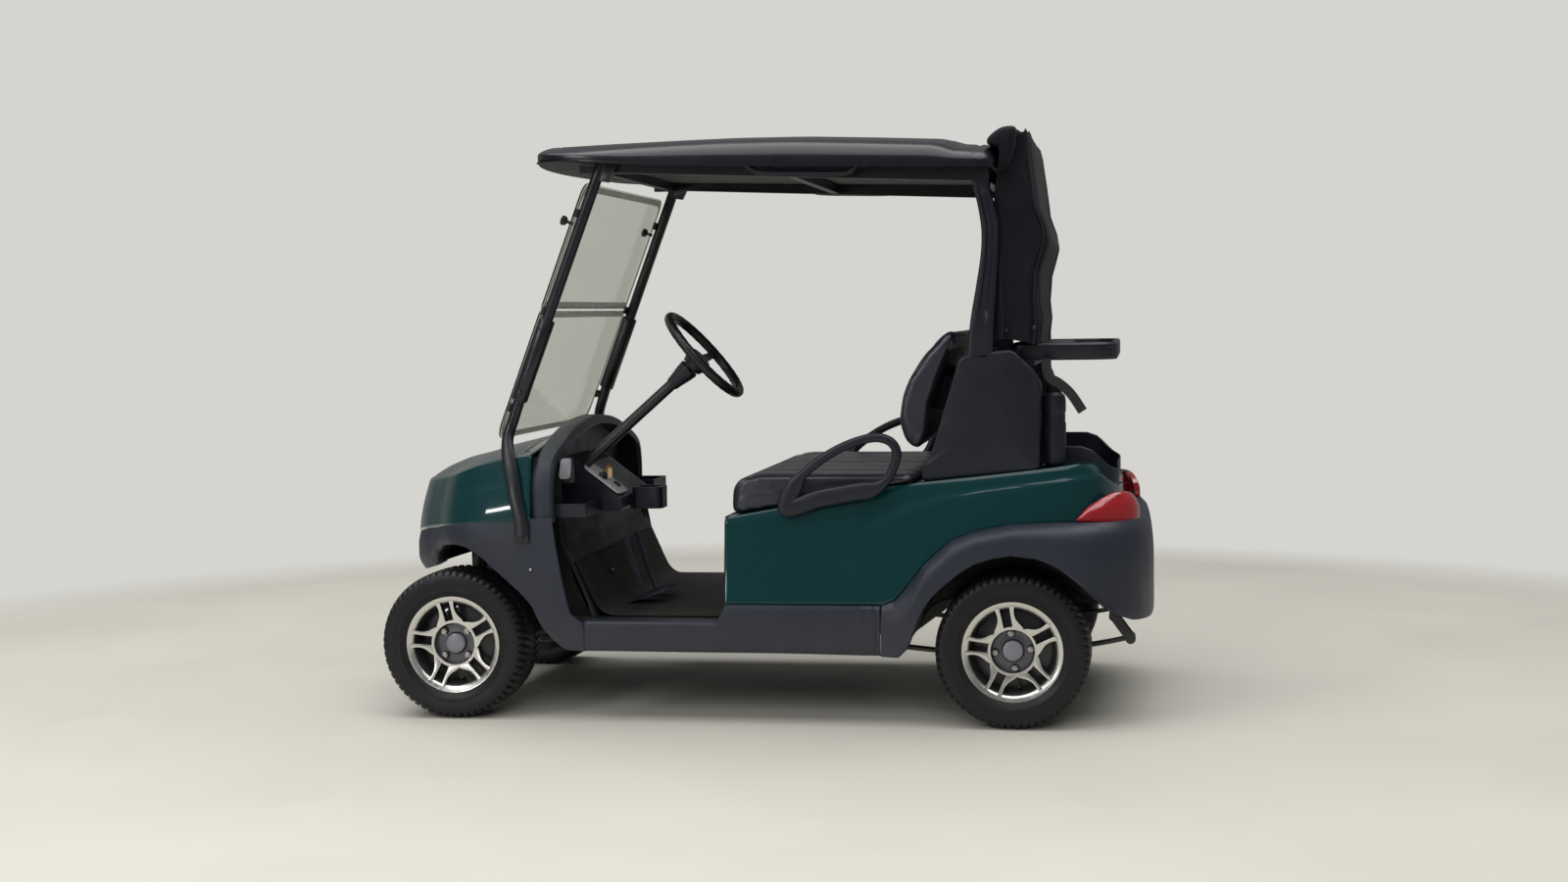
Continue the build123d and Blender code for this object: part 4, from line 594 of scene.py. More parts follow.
def fascia_shapes(bulge):
    """The grey front fascia: a skin whose section bulges between its top and its foot, curls
    under at the nose, and turns in as a lip round the wheel arch."""
    xy, out = plan_frame(FRONT_BODY_PLAN, spaced(5, 34, 13, 84))
    top, low = read(FASCIA_TOP, xy[:, 0]), read(FASCIA_LOW, xy[:, 0])
    nose = ease(xy[:, 0], 1690, 1800)
    rows = [(low + 7 * nose, -26 - 30 * nose), (low + 1 - 3 * nose, -9 - 9 * nose)]
    for t in np.linspace(0, 1, 15):
        curl = (1 - np.clip(t / 0.35, 0, 1)) ** 2
        crown = np.clip((t - 0.55) / 0.45, 0, 1) ** 2
        off = (-0.35 * bulge * curl * (1 - nose) - (bulge + 6) * curl * nose
               - bulge * crown * (0.6 + 0.4 * nose))
        rows.append((low + (top - low) * t, off))
    rows.append((top - 2, -bulge - 10))
    pts = from_middle(np.stack(standing(xy, out, rows), 1))
    # the door opening: columns behind x 1420 are drawn forward to its slanting edge
    share = np.clip((1420 - pts[..., 0]) / 170, 0, 1)
    pts[..., 0] += share**1.2 * (read(DOOR_EDGE, pts[..., 2]) - 1250)
    return [grid(pts)]


def hood_shapes(bulge):
    """The green nose: side walls that lean in from the fascia's edge to a crease, and a top that
    runs from the crease to the ridge on the middle line, its rise a quarter sine."""
    xy, out = plan_frame(FRONT_BODY_PLAN, spaced(5, 34, 12, 72))
    keep = xy[:, 0] > 1404
    xy, out = xy[keep], out[keep]
    x = xy[:, 0]
    low, crease, lean = read(FASCIA_TOP, x) - 9, read(HOOD_CREASE, x), read(HOOD_LEAN, x)
    rows = []
    for t in np.linspace(0, 1, 13):
        press = 3.0 * bell(t - 0.68, 0.07) * ease(1700 - x, 0, 60)
        rows.append((low + (crease - low) * t,
                     -bulge * 0.5 - lean * t**1.3 + 2.5 * np.sin(np.pi * t) - press))
    cols = standing(xy, out, rows)
    edge = cols[-1]
    # the ridge point that each place on the crease runs to; the nose's are drawn back
    ridge_x = np.minimum(edge[:, 0], 1700 + (edge[:, 0] - 1700) * 0.72)
    ridge = np.stack([ridge_x, 0 * ridge_x, read(HOOD_RIDGE, ridge_x)], -1)
    for t in np.linspace(0, 1, 26)[1:]:
        step = edge + (ridge - edge) * (t, t, np.sin(t * np.pi / 2) ** 0.9)
        step[:, 2] += 2.0 * np.sin(np.pi * min(1, t / 0.12)) * (t < 0.12)
        cols.append(step)
    return [grid(from_middle(np.stack(cols, 1)))]


def cowl_shapes():
    """The grey arch round the dash: a rounded section carried along the arch seen from the
    front, which stands upright at the sides and bows over the middle."""
    arch = cornered([(562, 588), (562, 700), (540, 764), (470, 797), (300, 846), (150, 872),
                     (0, 880)], (0, 40, 60, 60, 90, 70, 0), 10)
    arch = even(arch, 46)
    path = to_middle(np.stack([0 * arch[:, 0], arch[:, 0], arch[:, 1]], -1))
    high = ease(path[:, 2], 780, 880)[:, None]
    section_x = np.array([1345, 1347, 1354, 1368, 1390, 1405, 1412, 1413.5, 1412, 1350.5, 1346])
    section_in = np.array([25, 8, 1.5, 0, 0, 3, 9, 16, 25, 29, 28])
    run = unit(np.gradient(path, axis=0))
    inward = np.cross((1.0, 0, 0), run)
    inward = inward * np.sign((inward * ((0, 0, 500) - path)).sum(1))[:, None]
    pts = path[:, None] + inward[:, None] * section_in[None, :, None]
    pts[..., 0] += 1378.5 + (section_x[None] - 1378.5) * (1 + 0.12 * high) + 2 * high
    return [tube(pts)]


def jamb_shapes():
    """The dark panel between the door opening and the toe board, which also closes the dash's
    end."""
    side = [(1256, 300), (1322, 300), (1366, 480), (1396, 560), (1404, 604), (1404, 735),
            (1346, 745), (1340, 690), (1338, 600), (1322, 520), (1304, 410)]
    return [slab(side, 478, 484)]


def screw_shapes():
    """The fascia's screw on both sides and the toe board's: a dark washer and a zinc centre."""
    screws = [rod((1412, s * 570, 451), (1412, s * (579.4 + k), 451), r, 18, k)
              for s in (1, -1) for k, r in ((0, 9), (1, 4.5))]
    foot = np.array((1272.0, 200, 400))
    return screws + [rod(foot, foot + (-9 - 3 * k, 0, 4 + 1.4 * k), r, 18, k)
                     for k, r in ((0, 10), (1, 4.5))]


# ================================================================ sills and floor
def sill_shapes():
    """A sill: its section (inner top, rounded shoulder, face, tucked foot) carried along the
    cart while its top rises in an S below the seat; two pressed lines run along the rear part."""
    x = np.concatenate([np.linspace(377, 400, 6), np.linspace(404, 790, 40),
                        np.linspace(796, 900, 34), np.linspace(915, 1254, 30)])
    top = 300 + 51 * (1 - ease(x, 826, 862))
    foot = 207 + 3 * ease(x, 377, 700)
    pts = np.stack([np.stack([x, np.full_like(x, out), foot + (top - foot) * share], -1)
                    for out, share in (
        (505, 1.0), (560, 1.0), (568, 0.995), (574, 0.975), (577.3, 0.93), (578, 0.86),
        (578, 0.72), (578, 0.6), (577.8, 0.45), (577.5, 0.3), (576.8, 0.16), (574, 0.05),
        (568, 0.0), (552, -0.01))], 1)
    for at in (386, 413):
        pts[..., 1] -= 2.4 * bell(pts[..., 0] - at, 3.5) * (pts[..., 1] > 570)
    return [grid(pts)]


def mat_shapes():
    """The ribbed floor mat: a sheet that climbs the toe board, its height raised in long ribs."""
    line = even(cornered([(841, 303), (1226, 303), (1299, 461)], (0, 50, 0), 12), 90)
    y = np.linspace(-480, 480, 241)
    rib = 2.0 * np.clip(np.sin(FULL_TURN * y / 24) * 3, -1, 1)
    edge = 1 - ease(np.abs(y), 470, 480)
    z = line[:, None, 1] + 2.6 + (rib + 1.2) * edge
    return [grid(np.stack(np.broadcast_arrays(line[:, :1], y, z), -1))]


# ================================================================ rear body
REAR_BODY_PLAN = np.array([
    (835, 576), (700, 576), (560, 576), (420, 576), (280, 576), (160, 576), (60, 574), (-50, 566),
    (-150, 546), (-230, 506), (-290, 452), (-330, 372), (-352, 280), (-360, 190), (-362, 95),
    (-362, 0),
])
FLARE_TOP = [(-420, 588), (-196, 588), (-104, 588), (1, 585), (107, 566), (177, 537), (248, 477),
             (297, 414), (339, 365), (372, 352), (835, 352)]
DECK_EDGE = [(-362, 676), (-330, 700), (-301, 726), (-262, 744), (-231, 748), (-104, 737),
             (1, 727), (107, 716), (248, 702), (354, 688), (480, 664), (640, 634), (835, 600)]
SWAGE = [(-362, 716), (-300, 712), (-145, 699), (49, 677), (208, 653), (300, 624), (370, 590),
         (445, 546)]
FENDER_PLAN = np.array([
    (375, 578), (340, 584), (297, 591), (240, 597), (170, 600), (90, 600), (0, 600), (-80, 600),
    (-150, 596), (-215, 584), (-270, 560), (-318, 524), (-354, 474), (-378, 415), (-391, 350),
    (-397, 270), (-399, 160), (-400, 0),
])
FENDER_LOW = [(375, 205), (325, 204), (300, 228), (286, 262), (272, 301), (260, 328), (248, 351),
              (225, 382), (199, 407), (149, 448), (107, 474), (55, 492), (1, 500), (-69, 492),
              (-105, 479), (-139, 461), (-196, 414), (-245, 365), (-276, 340), (-308, 323),
              (-344, 307), (-400, 300)]
FENDER_TUCK = [(-400, 34), (-260, 44), (-120, 58), (60, 60), (200, 52), (330, 22), (376, 14)]


def rear_shell_shapes():
    """The green rear body: walls that lean in by the taper from the fenders' edge to the deck's
    edge, stepping in above a line that arches over the wheel, and a deck that runs from there in
    to the seat box and round the bag well."""
    xy, out = plan_frame(REAR_BODY_PLAN, spaced(6, 60, 15, 100), (200, 0))
    x = xy[:, 0]
    low, top = read(FLARE_TOP, x) - 4, read(DECK_EDGE, x)
    rows = []
    for t in np.linspace(0, 1, 22):
        z = low + (top - low) * t
        near = np.clip((top - z) / 14, 0, 1)
        step = 8 * ease(z - read(SWAGE, x), -3, 13) * ease(450 - x, 0, 70)
        rows.append((z, -(z - 250) * BODY_TAPER - 7 * (1 - near) ** 2 - step))
    cols = standing(xy, out, rows)
    edge = cols[-1]
    ex, ey = edge[:, 0], edge[:, 1]
    # where the deck ends: beside the seat box, then round the well on a squared oval
    a = np.clip(np.arctan2(ey, -190 - ex), 0, np.pi / 2)
    behind = ease(-190 - ex, 0, 12)
    beside = np.where(ex > 290, 468, 468 + (352 - 468) * ease(290 - ex, 0, 60))
    inner_x = ex * (1 - behind) + (-190 - 102 * np.cos(a) ** 0.25) * behind
    inner_y = beside * (1 - behind) + 352 * np.clip(np.sin(a), 0, 1) ** 0.35 * behind
    inner = np.stack([inner_x, inner_y, top + 2], -1)
    for t in np.linspace(0, 1, 9)[1:]:
        cols.append(edge + (inner - edge) * (t, t, math.sin(t * np.pi / 2)))
    cols.append(inner - (0, 0, 30))
    x = np.linspace(292, -90, 20)[:, None]
    y = np.linspace(-356, 356, 25)
    deck = np.broadcast_arrays(x, y, read(DECK_EDGE, x) + 2 - 4 * (y / 356) ** 2)
    z = np.linspace(348, 604, 12)
    face = np.broadcast_arrays(834, np.linspace(-1, 1, 20)[:, None]
                               * (562 - (z - 352) * BODY_TAPER), z)
    return [grid(to_middle(np.stack(cols, 1))), grid(np.stack(deck, -1)), grid(np.stack(face, -1))]


def well_shapes():
    """The bag well: a tub with a rolled rim.  Its outline from above is carried down in rows, and
    the rim's height falls from the supports to the tail."""
    o = even(cornered([(-84, -356), (-84, 356), (-256, 356), (-298, 300), (-298, -300),
                       (-256, -356)], (20, 20, 60, 60, 60, 60), 8, True), 120, True)
    top = read([(-300, 722), (-270, 738), (-225, 782), (-190, 794), (-84, 794)], o[:, 0])
    away = unit(o - (-190.0, 0.0))
    rows = [(680, 0), (top - 3, 0), (top, -2.5), (top, -7), (top - 3, -9.5), (600, -12),
            (560, -30)]
    return [grid(np.stack(standing(o, away, rows)), (False, True), (False, True))]


def liner_shapes():
    """The liner of the rear wheel's arch: the arch's line carried inwards, then an inner wall
    that hangs up to 79 mm down beside the tyre and runs out towards both feet of the arch."""
    x = np.linspace(290, -290, 80)[:, None]
    y = np.array([588, 560, 500, 440, 390, 366, 360, 360, 360])
    drop = np.array([0, 0, 0, 0, 2, 9, 21, 47, 79]) * np.clip((300 - abs(x)) / 110, 0, 1)
    return [grid(np.stack(np.broadcast_arrays(x, y, read(FENDER_LOW, x) + 7 - drop), -1))]


def fender_shapes():
    """The grey rear flares and bumper in one skin round the tail: the section swells between the
    line under the green body and the arch, where it turns in as a lip; its top runs in as a
    ledge."""
    xy, out = plan_frame(FENDER_PLAN, spaced(9, 84, 17, 60), (100, 0))
    top, low, tuck = (read(k, xy[:, 0]) for k in (FLARE_TOP, FENDER_LOW, FENDER_TUCK))
    top = top - 1
    rows = [(low + 2, -24), (low - 0.5, -8), (low, -2)]
    for t in np.linspace(0.03, 1, 16):
        crown = np.clip((t - 0.45) / 0.55, 0, 1)
        rows.append((low + (top - low) * t, -tuck * (1 - np.sqrt(np.clip(1 - crown**2.2, 0, 1)))))
    rows.append((top - 1, -tuck - 80))
    return [grid(to_middle(np.stack(standing(xy, out, rows), 1)))]


def lamp_shapes():
    """The left tail lamp: a teardrop on the body's corner.  Rows run from its tip to its blunt
    end, and each is a parabola from its low to its top edge that stands out from the body in
    two facets and over the fender at its foot."""
    line, top, low = (through(k, 30)[:, None] for k in (
        [(-183, 500, 592), (-215, 487, 606), (-255, 462, 617), (-300, 425, 624),
         (-332, 386, 622), (-348, 345, 612), (-355, 310, 606)],
        [(-183, 500, 594), (-215, 486, 626), (-255, 460, 650), (-296, 424, 667),
         (-326, 384, 664), (-342, 345, 650), (-351, 310, 632)],
        [(-183, 500, 589), (-215, 489, 588), (-255, 466, 584), (-296, 434, 577),
         (-330, 396, 576), (-349, 352, 582), (-357, 312, 590)]))
    t = np.linspace(0, 1, 13)
    u = t[None, :, None]
    pts = (1 - u) ** 2 * low + 2 * u * (1 - u) * (2 * line - 0.5 * (low + top)) + u**2 * top
    share = np.linspace(0, 1, 30)
    out = unit(np.stack([-0.35 - 0.6 * share, 0.93 - 0.75 * share, np.full(30, 0.1)], -1))[:, None]
    swell = np.sin(np.pi * np.clip(share, 0.02, 0.97))[:, None]
    facets = 9 * swell**0.6 * np.minimum(t / 0.62, (1 - t) / 0.38) ** 0.75
    bulge = facets + 15 * swell * (1 - t) ** 0.6
    shell, back = pts + out * bulge[..., None], (pts - out * 14)[:, ::-1]
    return [tube(np.concatenate([shell, back], 1))]


# ================================================================ seats
def pad_of(name, outline, half_w, nodes, crown, pinch, swell):
    """A padded cushion: its outline seen from the side carried across the cart, drawn in and
    rounded towards both ends, then blown up a little as cloth and pulled in along its seams."""
    o = even(cornered(outline, 22, 6, True), 90, True)
    mid = o.mean(0)
    share = signed(np.linspace(-1, 1, 60), 0.8)
    end = np.clip((np.abs(share) - 0.90) / 0.10, 0, 1)
    inset = 1 - crown * (1 - np.sqrt(np.clip(1 - end**2, 0, 1)))
    xz = mid + (o - mid) * inset[:, None, None]
    obj = piece(name, [tube(side_on(xz, (share * half_w)[:, None]))], finishes()["vinyl"], nodes,
                sharp=False)
    inflate(obj, swell)
    to_mesh(obj.data, pinch(from_mesh(obj.data).astype(float) * 1000 - (REAR_X, 0, 0)))
    obj.data.update()
    return obj


def as_shown(obj):
    """A new mesh of an object as its modifiers show it, which are then taken off."""
    mesh = bpy.data.meshes.new_from_object(
        obj.evaluated_get(bpy.context.evaluated_depsgraph_get()))
    obj.modifiers.clear()
    return mesh


def inflate(obj, cap_mm):
    """Blows a pad up with cloth pressure, no point further than cap_mm, and keeps the result."""
    scene = bpy.context.scene
    before = obj.data
    even_mesh = obj.modifiers.new("remesh", "REMESH")
    even_mesh.mode, even_mesh.voxel_size = "VOXEL", 0.008
    mesh = as_shown(obj)
    for material in before.materials:
        if material.name not in mesh.materials:
            mesh.materials.append(material)
    obj.data = mesh
    start = from_mesh(mesh)
    cloth = obj.modifiers.new("cloth", "CLOTH")
    cloth.settings.use_pressure = True
    cloth.settings.uniform_pressure_force = 4.0
    cloth.settings.tension_stiffness = cloth.settings.compression_stiffness = 15
    cloth.settings.effector_weights.gravity = 0
    cloth.point_cache.frame_start, cloth.point_cache.frame_end = 1, 14
    for f in range(1, 15):
        scene.frame_set(f)
    move = from_mesh(as_shown(obj)) - start
    far = np.linalg.norm(move, axis=1, keepdims=True)
    move = move * np.minimum(1, cap_mm / 1000 / np.maximum(far, 1e-9))
    mesh.vertices.foreach_set("co", (start + move).astype(np.float32).ravel())
    mesh.shade_smooth()
    mesh.update()
    scene.frame_set(1)


def line_gap(co, points):
    """Distance in the side view from each point to a run of straight lines."""
    p = np.asarray(points, float)
    q = co[:, [0, 2]]
    best = np.full(len(q), 1e9)
    for a, b in zip(p[:-1], p[1:]):
        d = b - a
        t = np.clip(((q - a) @ d) / (d @ d), 0, 1)
        best = np.minimum(best, np.linalg.norm(q - a - t[:, None] * d, axis=1))
    return best


def cushion_pinch(co):
    """Seams of the seat cushion: grooves from front to back at the middle and beside it, one
    along the top of the front, and a welt line along both ends."""
    top = ease(co[:, 2], 690, 716)
    for y0, deep in ((0, 7.0), (170, 4.0), (-170, 4.0), (340, 4.0), (-340, 4.0)):
        co[:, 2] -= deep * top * bell(co[:, 1] - y0, 6)
    beside = np.abs(co[:, 1])
    co[:, 2] -= 3.5 * bell(co[:, 0] - 770, 6) * top * (beside < 480)
    co[:, 2] -= 3 * bell(beside - 488, 5) * top
    welt = bell(co[:, 2] - 690 + 0.10 * (co[:, 0] - 540), 4) * (beside > 480)
    co[:, 1] -= np.sign(co[:, 1]) * 3.0 * welt
    return co


def back_pinch(co):
    """Seams of the seat back: the split between its two halves, a groove round each half's
    cushion, and the welt along its sides."""
    face = read([(800, 262), (880, 268), (1000, 236), (1150, 165)], co[:, 2])
    front = ease(co[:, 0] - face, 0, 20)
    beside = np.abs(co[:, 1])
    co[:, 0] -= 12 * front * bell(co[:, 1], 7)
    for y0 in (48, 440):
        co[:, 0] -= 5 * front * bell(beside - y0, 6)
    for z0 in (862, 1088):
        co[:, 0] -= 5 * front * bell(co[:, 2] - z0, 6) * (beside < 445)
    gap = line_gap(co, [(262, 850), (272, 890), (240, 960), (205, 1035), (176, 1100)])
    co[:, 1] -= np.sign(co[:, 1]) * 3.0 * bell(gap, 4) * (beside > 440)
    return co


ARM_Y = 547.0


def arm_shapes():
    """An armrest: a closed loop whose section changes from a flat padded bar below to a round
    grip above, and its two bolts."""
    loop = through([(648, 632), (640, 668), (604, 722), (555, 764), (500, 798), (440, 823),
                    (385, 834), (344, 822), (326, 792), (334, 752), (356, 712), (392, 686),
                    (440, 678), (500, 668), (560, 656), (610, 638)], 120, True)
    low = ease(-loop[:, 1], -735, -690) * ease(loop[:, 0], 350, 420)
    tall = (13.5 + 12.5 * low)[:, None]
    c, s = ring(1, 18).T
    prof = np.stack(np.broadcast_arrays(13.2 * signed(c, 0.8), tall * signed(s, 0.85)), -1)
    arm = grid(carried(side_on(loop, ARM_Y), prof, loop=True), (True, True))
    return [arm, rod((560, ARM_Y - 34, 652), (560, ARM_Y - 8, 652), 11),
            rod((372, ARM_Y - 30, 706), (372, ARM_Y - 8, 706), 11)]


# ================================================================ roof
ROOF_PLAN = [(40, 0), (40, 250), (41, 480), (52, 535), (84, 564), (140, 570), (500, 570),
             (900, 570), (1150, 569), (1250, 562), (1324, 540), (1376, 496), (1408, 420),
             (1440, 290), (1458, 140), (1463, 0)]
ROOF_SKIRT = [(40, 1596), (760, 1616), (1100, 1630), (1470, 1662)]
ROOF_TOP = [(40, 1703), (99, 1702), (160, 1706), (182, 1716), (217, 1723), (411, 1733),
            (619, 1742), (828, 1744), (967, 1742), (1200, 1737), (1425, 1730), (1470, 1727)]


def roof_shapes():
    """The canopy: rings that shrink from its rounded outline to the middle line.  The height is
    the crown (falling with the square of the distance from the middle line) times a flattened
    quarter circle over the last 62 mm before the rim, less a gutter round it."""
    half = through(ROOF_PLAN, 121)
    outline = np.concatenate([half, (half * (1, -1))[-2:0:-1]])
    away = outline - np.stack([np.clip(outline[:, 0], 480, 1060), 0 * outline[:, 1]], -1)
    length = np.linalg.norm(away, axis=1, keepdims=True)
    skirt = read(ROOF_SKIRT, outline[:, 0])
    lip = ((14, 5.0), (3, 7.0), (0, 4.0), (0, 1.0), (4, 0.0), (16, 0.0))
    cols = standing(outline, -away / length, [(skirt + up, d) for up, d in lip])
    for d in (1.5, 4, 8, 13, 20, 28, 38, 50, 62, 74, 88, 104, 125, 160,
              *np.linspace(200, 540, 13), 800):
        p = outline - away * np.minimum(d / length, 1.0)
        base = read(ROOF_SKIRT, p[:, 0]) + 16
        top = read(ROOF_TOP, p[:, 0]) - 10 - 46 * (p[:, 1] / 525) ** 2
        share = np.sqrt(1 - (1 - np.clip(d / 62, 0, 1)) ** 2.2)
        z = base + (top - base) * share - 3.5 * bell(d - 74, 7)
        cols.append(np.column_stack([p, z]))
    return [grid(np.stack(cols, 1), (True, False))]


def handle_shapes():
    """The grab handle under the roof's side: a flattened bar that hangs from both ends."""
    line = through([(748, 1622), (728, 1604), (690, 1597), (590, 1593), (490, 1590), (452, 1594),
                    (430, 1612)], 40)
    return [tube(carried(side_on(line, 544.0), ring(12, 14, 8)))]


# ================================================================ struts and windshield
def strut_shapes():
    """A front strut: a tube that runs down to a knee, leans back outside the body and ends in a
    foot pressed flat, with a sleeve half way and its two clamp screws, a bracket under the roof
    and the knob that holds the upper pane."""
    line = even(through([
        (1187, 491, 1652), (1206, 493, 1603), (1290, 496, 1385), (1375, 500, 1163),
        (1440, 503, 993), (1475, 506, 893), (1486, 513, 856), (1488, 529, 826), (1479, 553, 782),
        (1463, 571, 716), (1452, 578, 656), (1441, 581, 612), (1436, 582, 585), (1434, 583, 552),
    ], 160), 120)
    flat = ease(-line[:, 2], -860, -770)[:, None]
    tubing = tube(carried(line, ring(17.0 * (1 - 0.6 * flat), 20, 17.0 * (1 + 0.25 * flat))))
    top, low = np.array((1366.0, 499.6, 1185)), np.array((1457.0, 503.4, 948))
    span = np.linalg.norm(low - top)
    run = (low - top) / span
    sleeve = [(17, -1), (22.5, 0), (24.2, 3), (24.2, span - 3), (22.5, span), (17, span + 1)]
    bracket = slab([(1172, 1584), (1210, 1590), (1202, 1656), (1128, 1656), (1150, 1626)],
                   478, 504, edge=3)
    foot = slab([(1412, 530), (1456, 530), (1458, 560), (1450, 600), (1418, 600)], 576, 585,
                edge=2)
    clamps = [top + run * span * share for share in (0.12, 0.9)]
    knob, ahead = np.array((1270.0, 495, 1461.0)), np.array((0.934, 0, 0.358))
    return [tubing, moved(lathe(sleeve, 28), top, square_to(run)), bracket,
            *(rod(c + (0, 22, 0), c + (0, 29, 0), 7, 6) for c in clamps),
            rod(knob + ahead * 12, knob + ahead * 36, 5, 12),
            rod(knob + ahead * 34, knob + ahead * 50, 13, 16, 0, 15, 3), foot,
            *(rod((1434, 583, z), (1434, 590, z), 6.5, 6) for z in (542, 566))]


GLASS_LEAN = math.atan2(1497 - 1204, 1607 - 843)
GLASS_UP = np.array((-math.sin(GLASS_LEAN), 0, math.cos(GLASS_LEAN)))
GLASS_OUT = np.array((math.cos(GLASS_LEAN), 0, math.sin(GLASS_LEAN)))
GLASS_FOOT = np.array((1497.0, 0, 843.0)) + 42 * GLASS_UP + 26 * GLASS_OUT
PANE_HALF = 503.0
LOWER_PANE = (-66, 342, (70, 70, 6, 6))      # foot and top along the panes' plane, and corners
UPPER_PANE = (348, 742, (6, 6, 45, 45))


def pane_rings(low, high, radius, steps):
    """Rings round a pane, a rectangle with rounded corners on the leaning plane: for each step
    drawn in by its first number and standing off the plane by its second."""
    rings = []
    for inset, off in steps:
        w, lo, hi = PANE_HALF - inset, low + inset, high - inset
        o = cornered([(-w, lo), (w, lo), (w, hi), (-w, hi)], radius, 10, True)
        rings.append(GLASS_FOOT + o[:, :1] * (0, 1, 0) + o[:, 1:] * GLASS_UP + GLASS_OUT * off)
    return np.stack(rings)


def pane_shapes(pane):
    """A windshield pane, 4.6 mm thick: both faces and a rounded rim between them."""
    return [tube(pane_rings(*pane, ((0.6, 0.2), (0, 1.2), (0, 3.6), (0.6, 4.6))))]


def band_shapes(pane, wide):
    """The dark band printed round a pane: a thin frame just behind the sheet."""
    steps = ((4, -0.6), (4, -0.2), (4 + wide, -0.2), (4 + wide, -0.6))
    return [grid(pane_rings(*pane, steps), (True, True))]


def hinge_shapes():
    """The joint between the panes: two slim strips along the polished edges."""
    out = []
    for at in (338, 352):
        prof = np.array([(-3.5, -2.5), (8.0, -2.5), (8.6, 0), (8.0, 2.5), (-3.5, 2.5), (-4.0, 0)])
        across = np.linspace(-PANE_HALF, PANE_HALF, 24)[:, None] * (0, 1, 0)
        path = GLASS_FOOT + GLASS_UP * at + across
        out.append(tube(path[:, None] + prof[None, :, :1] * GLASS_OUT
                        + prof[None, :, 1:] * GLASS_UP))
    return out


# ================================================================ rear supports
def support_shapes():
    """A rear support: its outline carried in from the outer face with a rounded rim, and a post
    whose outer face is pressed in along a groove."""
    body = cornered([(264, 700), (264, 745), (243, 760), (205, 885), (152, 1058), (120, 1070),
                     (-3, 1080), (-60, 1020), (-83, 980), (-78, 860), (-77, 734)], 14, 5, True)
    left = through([(128, 1060), (119, 1157), (100, 1267), (87, 1350), (84, 1419), (93, 1488),
                    (106, 1543), (107, 1562)], 60)[:, None]
    right = through([(52, 1060), (52, 1109), (41, 1267), (36, 1350), (35, 1440), (50, 1505),
                     (60, 1543), (58, 1562)], 60)[:, None]
    t = np.array([0, 0.03, 0.1, 0.2, 0.28, 0.33, 0.5, 0.62, 0.67, 0.75, 0.9, 0.97, 1.0])[:, None]
    depth = np.array([8, 3, 0.5, 0, 0, 5, 5, 5, 0, 0, 0.5, 3, 8.0])
    face = left * (1 - t) + right * t
    groove = ease(face[..., 1], 1150, 1200) * (1 - ease(face[..., 1], 1515, 1545))
    d = np.where(depth == 5, 5 * groove, depth)
    outer, inner = side_on(face, 478 - d), side_on(face, 432 + d * 0.4)[:, ::-1]
    return [slab(even(body, 90, True), 478, 408, edge=9, steps=5),
            tube(np.concatenate([outer, inner], 1)),
            rod((72, 472, 1205), (72, 479.5, 1205), 6, 16)]


def rack_shapes():
    """The bag rack: a moulded tray with two bag bays, a rolled rim, and a cross beam."""
    def rail(outline, radius, places, z, prof):
        line = even(cornered(outline, *radius, True), places, True)
        path = np.column_stack([line, np.full(places, z)])
        return grid(carried(path, prof, (0, 0, 1), True), (True, True))

    rim = [(-20, -9), (-26, -4), (-26, 6), (-20, 10), (18, 10), (24, 5), (24, -5), (18, -9)]
    out = [rail([(-2, -392), (-2, 392), (-250, 392), (-288, 350), (-288, -350), (-250, -392)],
                (26, 6), 160, 1072.0, rim)]
    out += [rail([(-160, y - 128), (-160, y + 128), (-262, y + 128), (-262, y - 128)],
                 (44, 8), 90, 1074.0, ring(11, 12)) for y in (-190, 190)]
    deck = [(-6, 1088), (-60, 1094), (-150, 1095), (-156, 1086), (-156, 1060), (-6, 1060)]
    out.append(slab(cornered(deck, 4, 4, True), -380, 380))
    out.append(slab([(-150, 1064), (-282, 1064), (-282, 1078), (-150, 1078)], -26, 26, edge=3))
    out += [slab([(-150, 1060), (-284, 1060), (-284, 1084), (-150, 1088)], y - 18, y + 18, edge=3)
            for y in (-372, 372)]
    beam = [(0, 1022), (-62, 1030), (-62, 1078), (0, 1080)]
    return out + [slab(cornered(beam, 8, 4, True), -400, 400)]


def bottle_shapes():
    """The seed bottle in its holder: a turned bottle with a stepped neck and a cap."""
    prof = [(1, 0), (27, 0), (32, 4), (34, 12), (34, 118), (32, 124), (32, 150), (34, 156),
            (34, 186), (31, 200), (24, 206), (21, 210)]
    cap = [(19, 206), (22, 207), (22.5, 226), (20, 229), (9, 230), (7, 238), (1, 239)]
    return [moved(lathe(k, count, paint), (-116, 402, 745), square_to((0, 0, 1)))
            for k, count, paint in ((prof, 40, 0), (cap, 32, 1))]


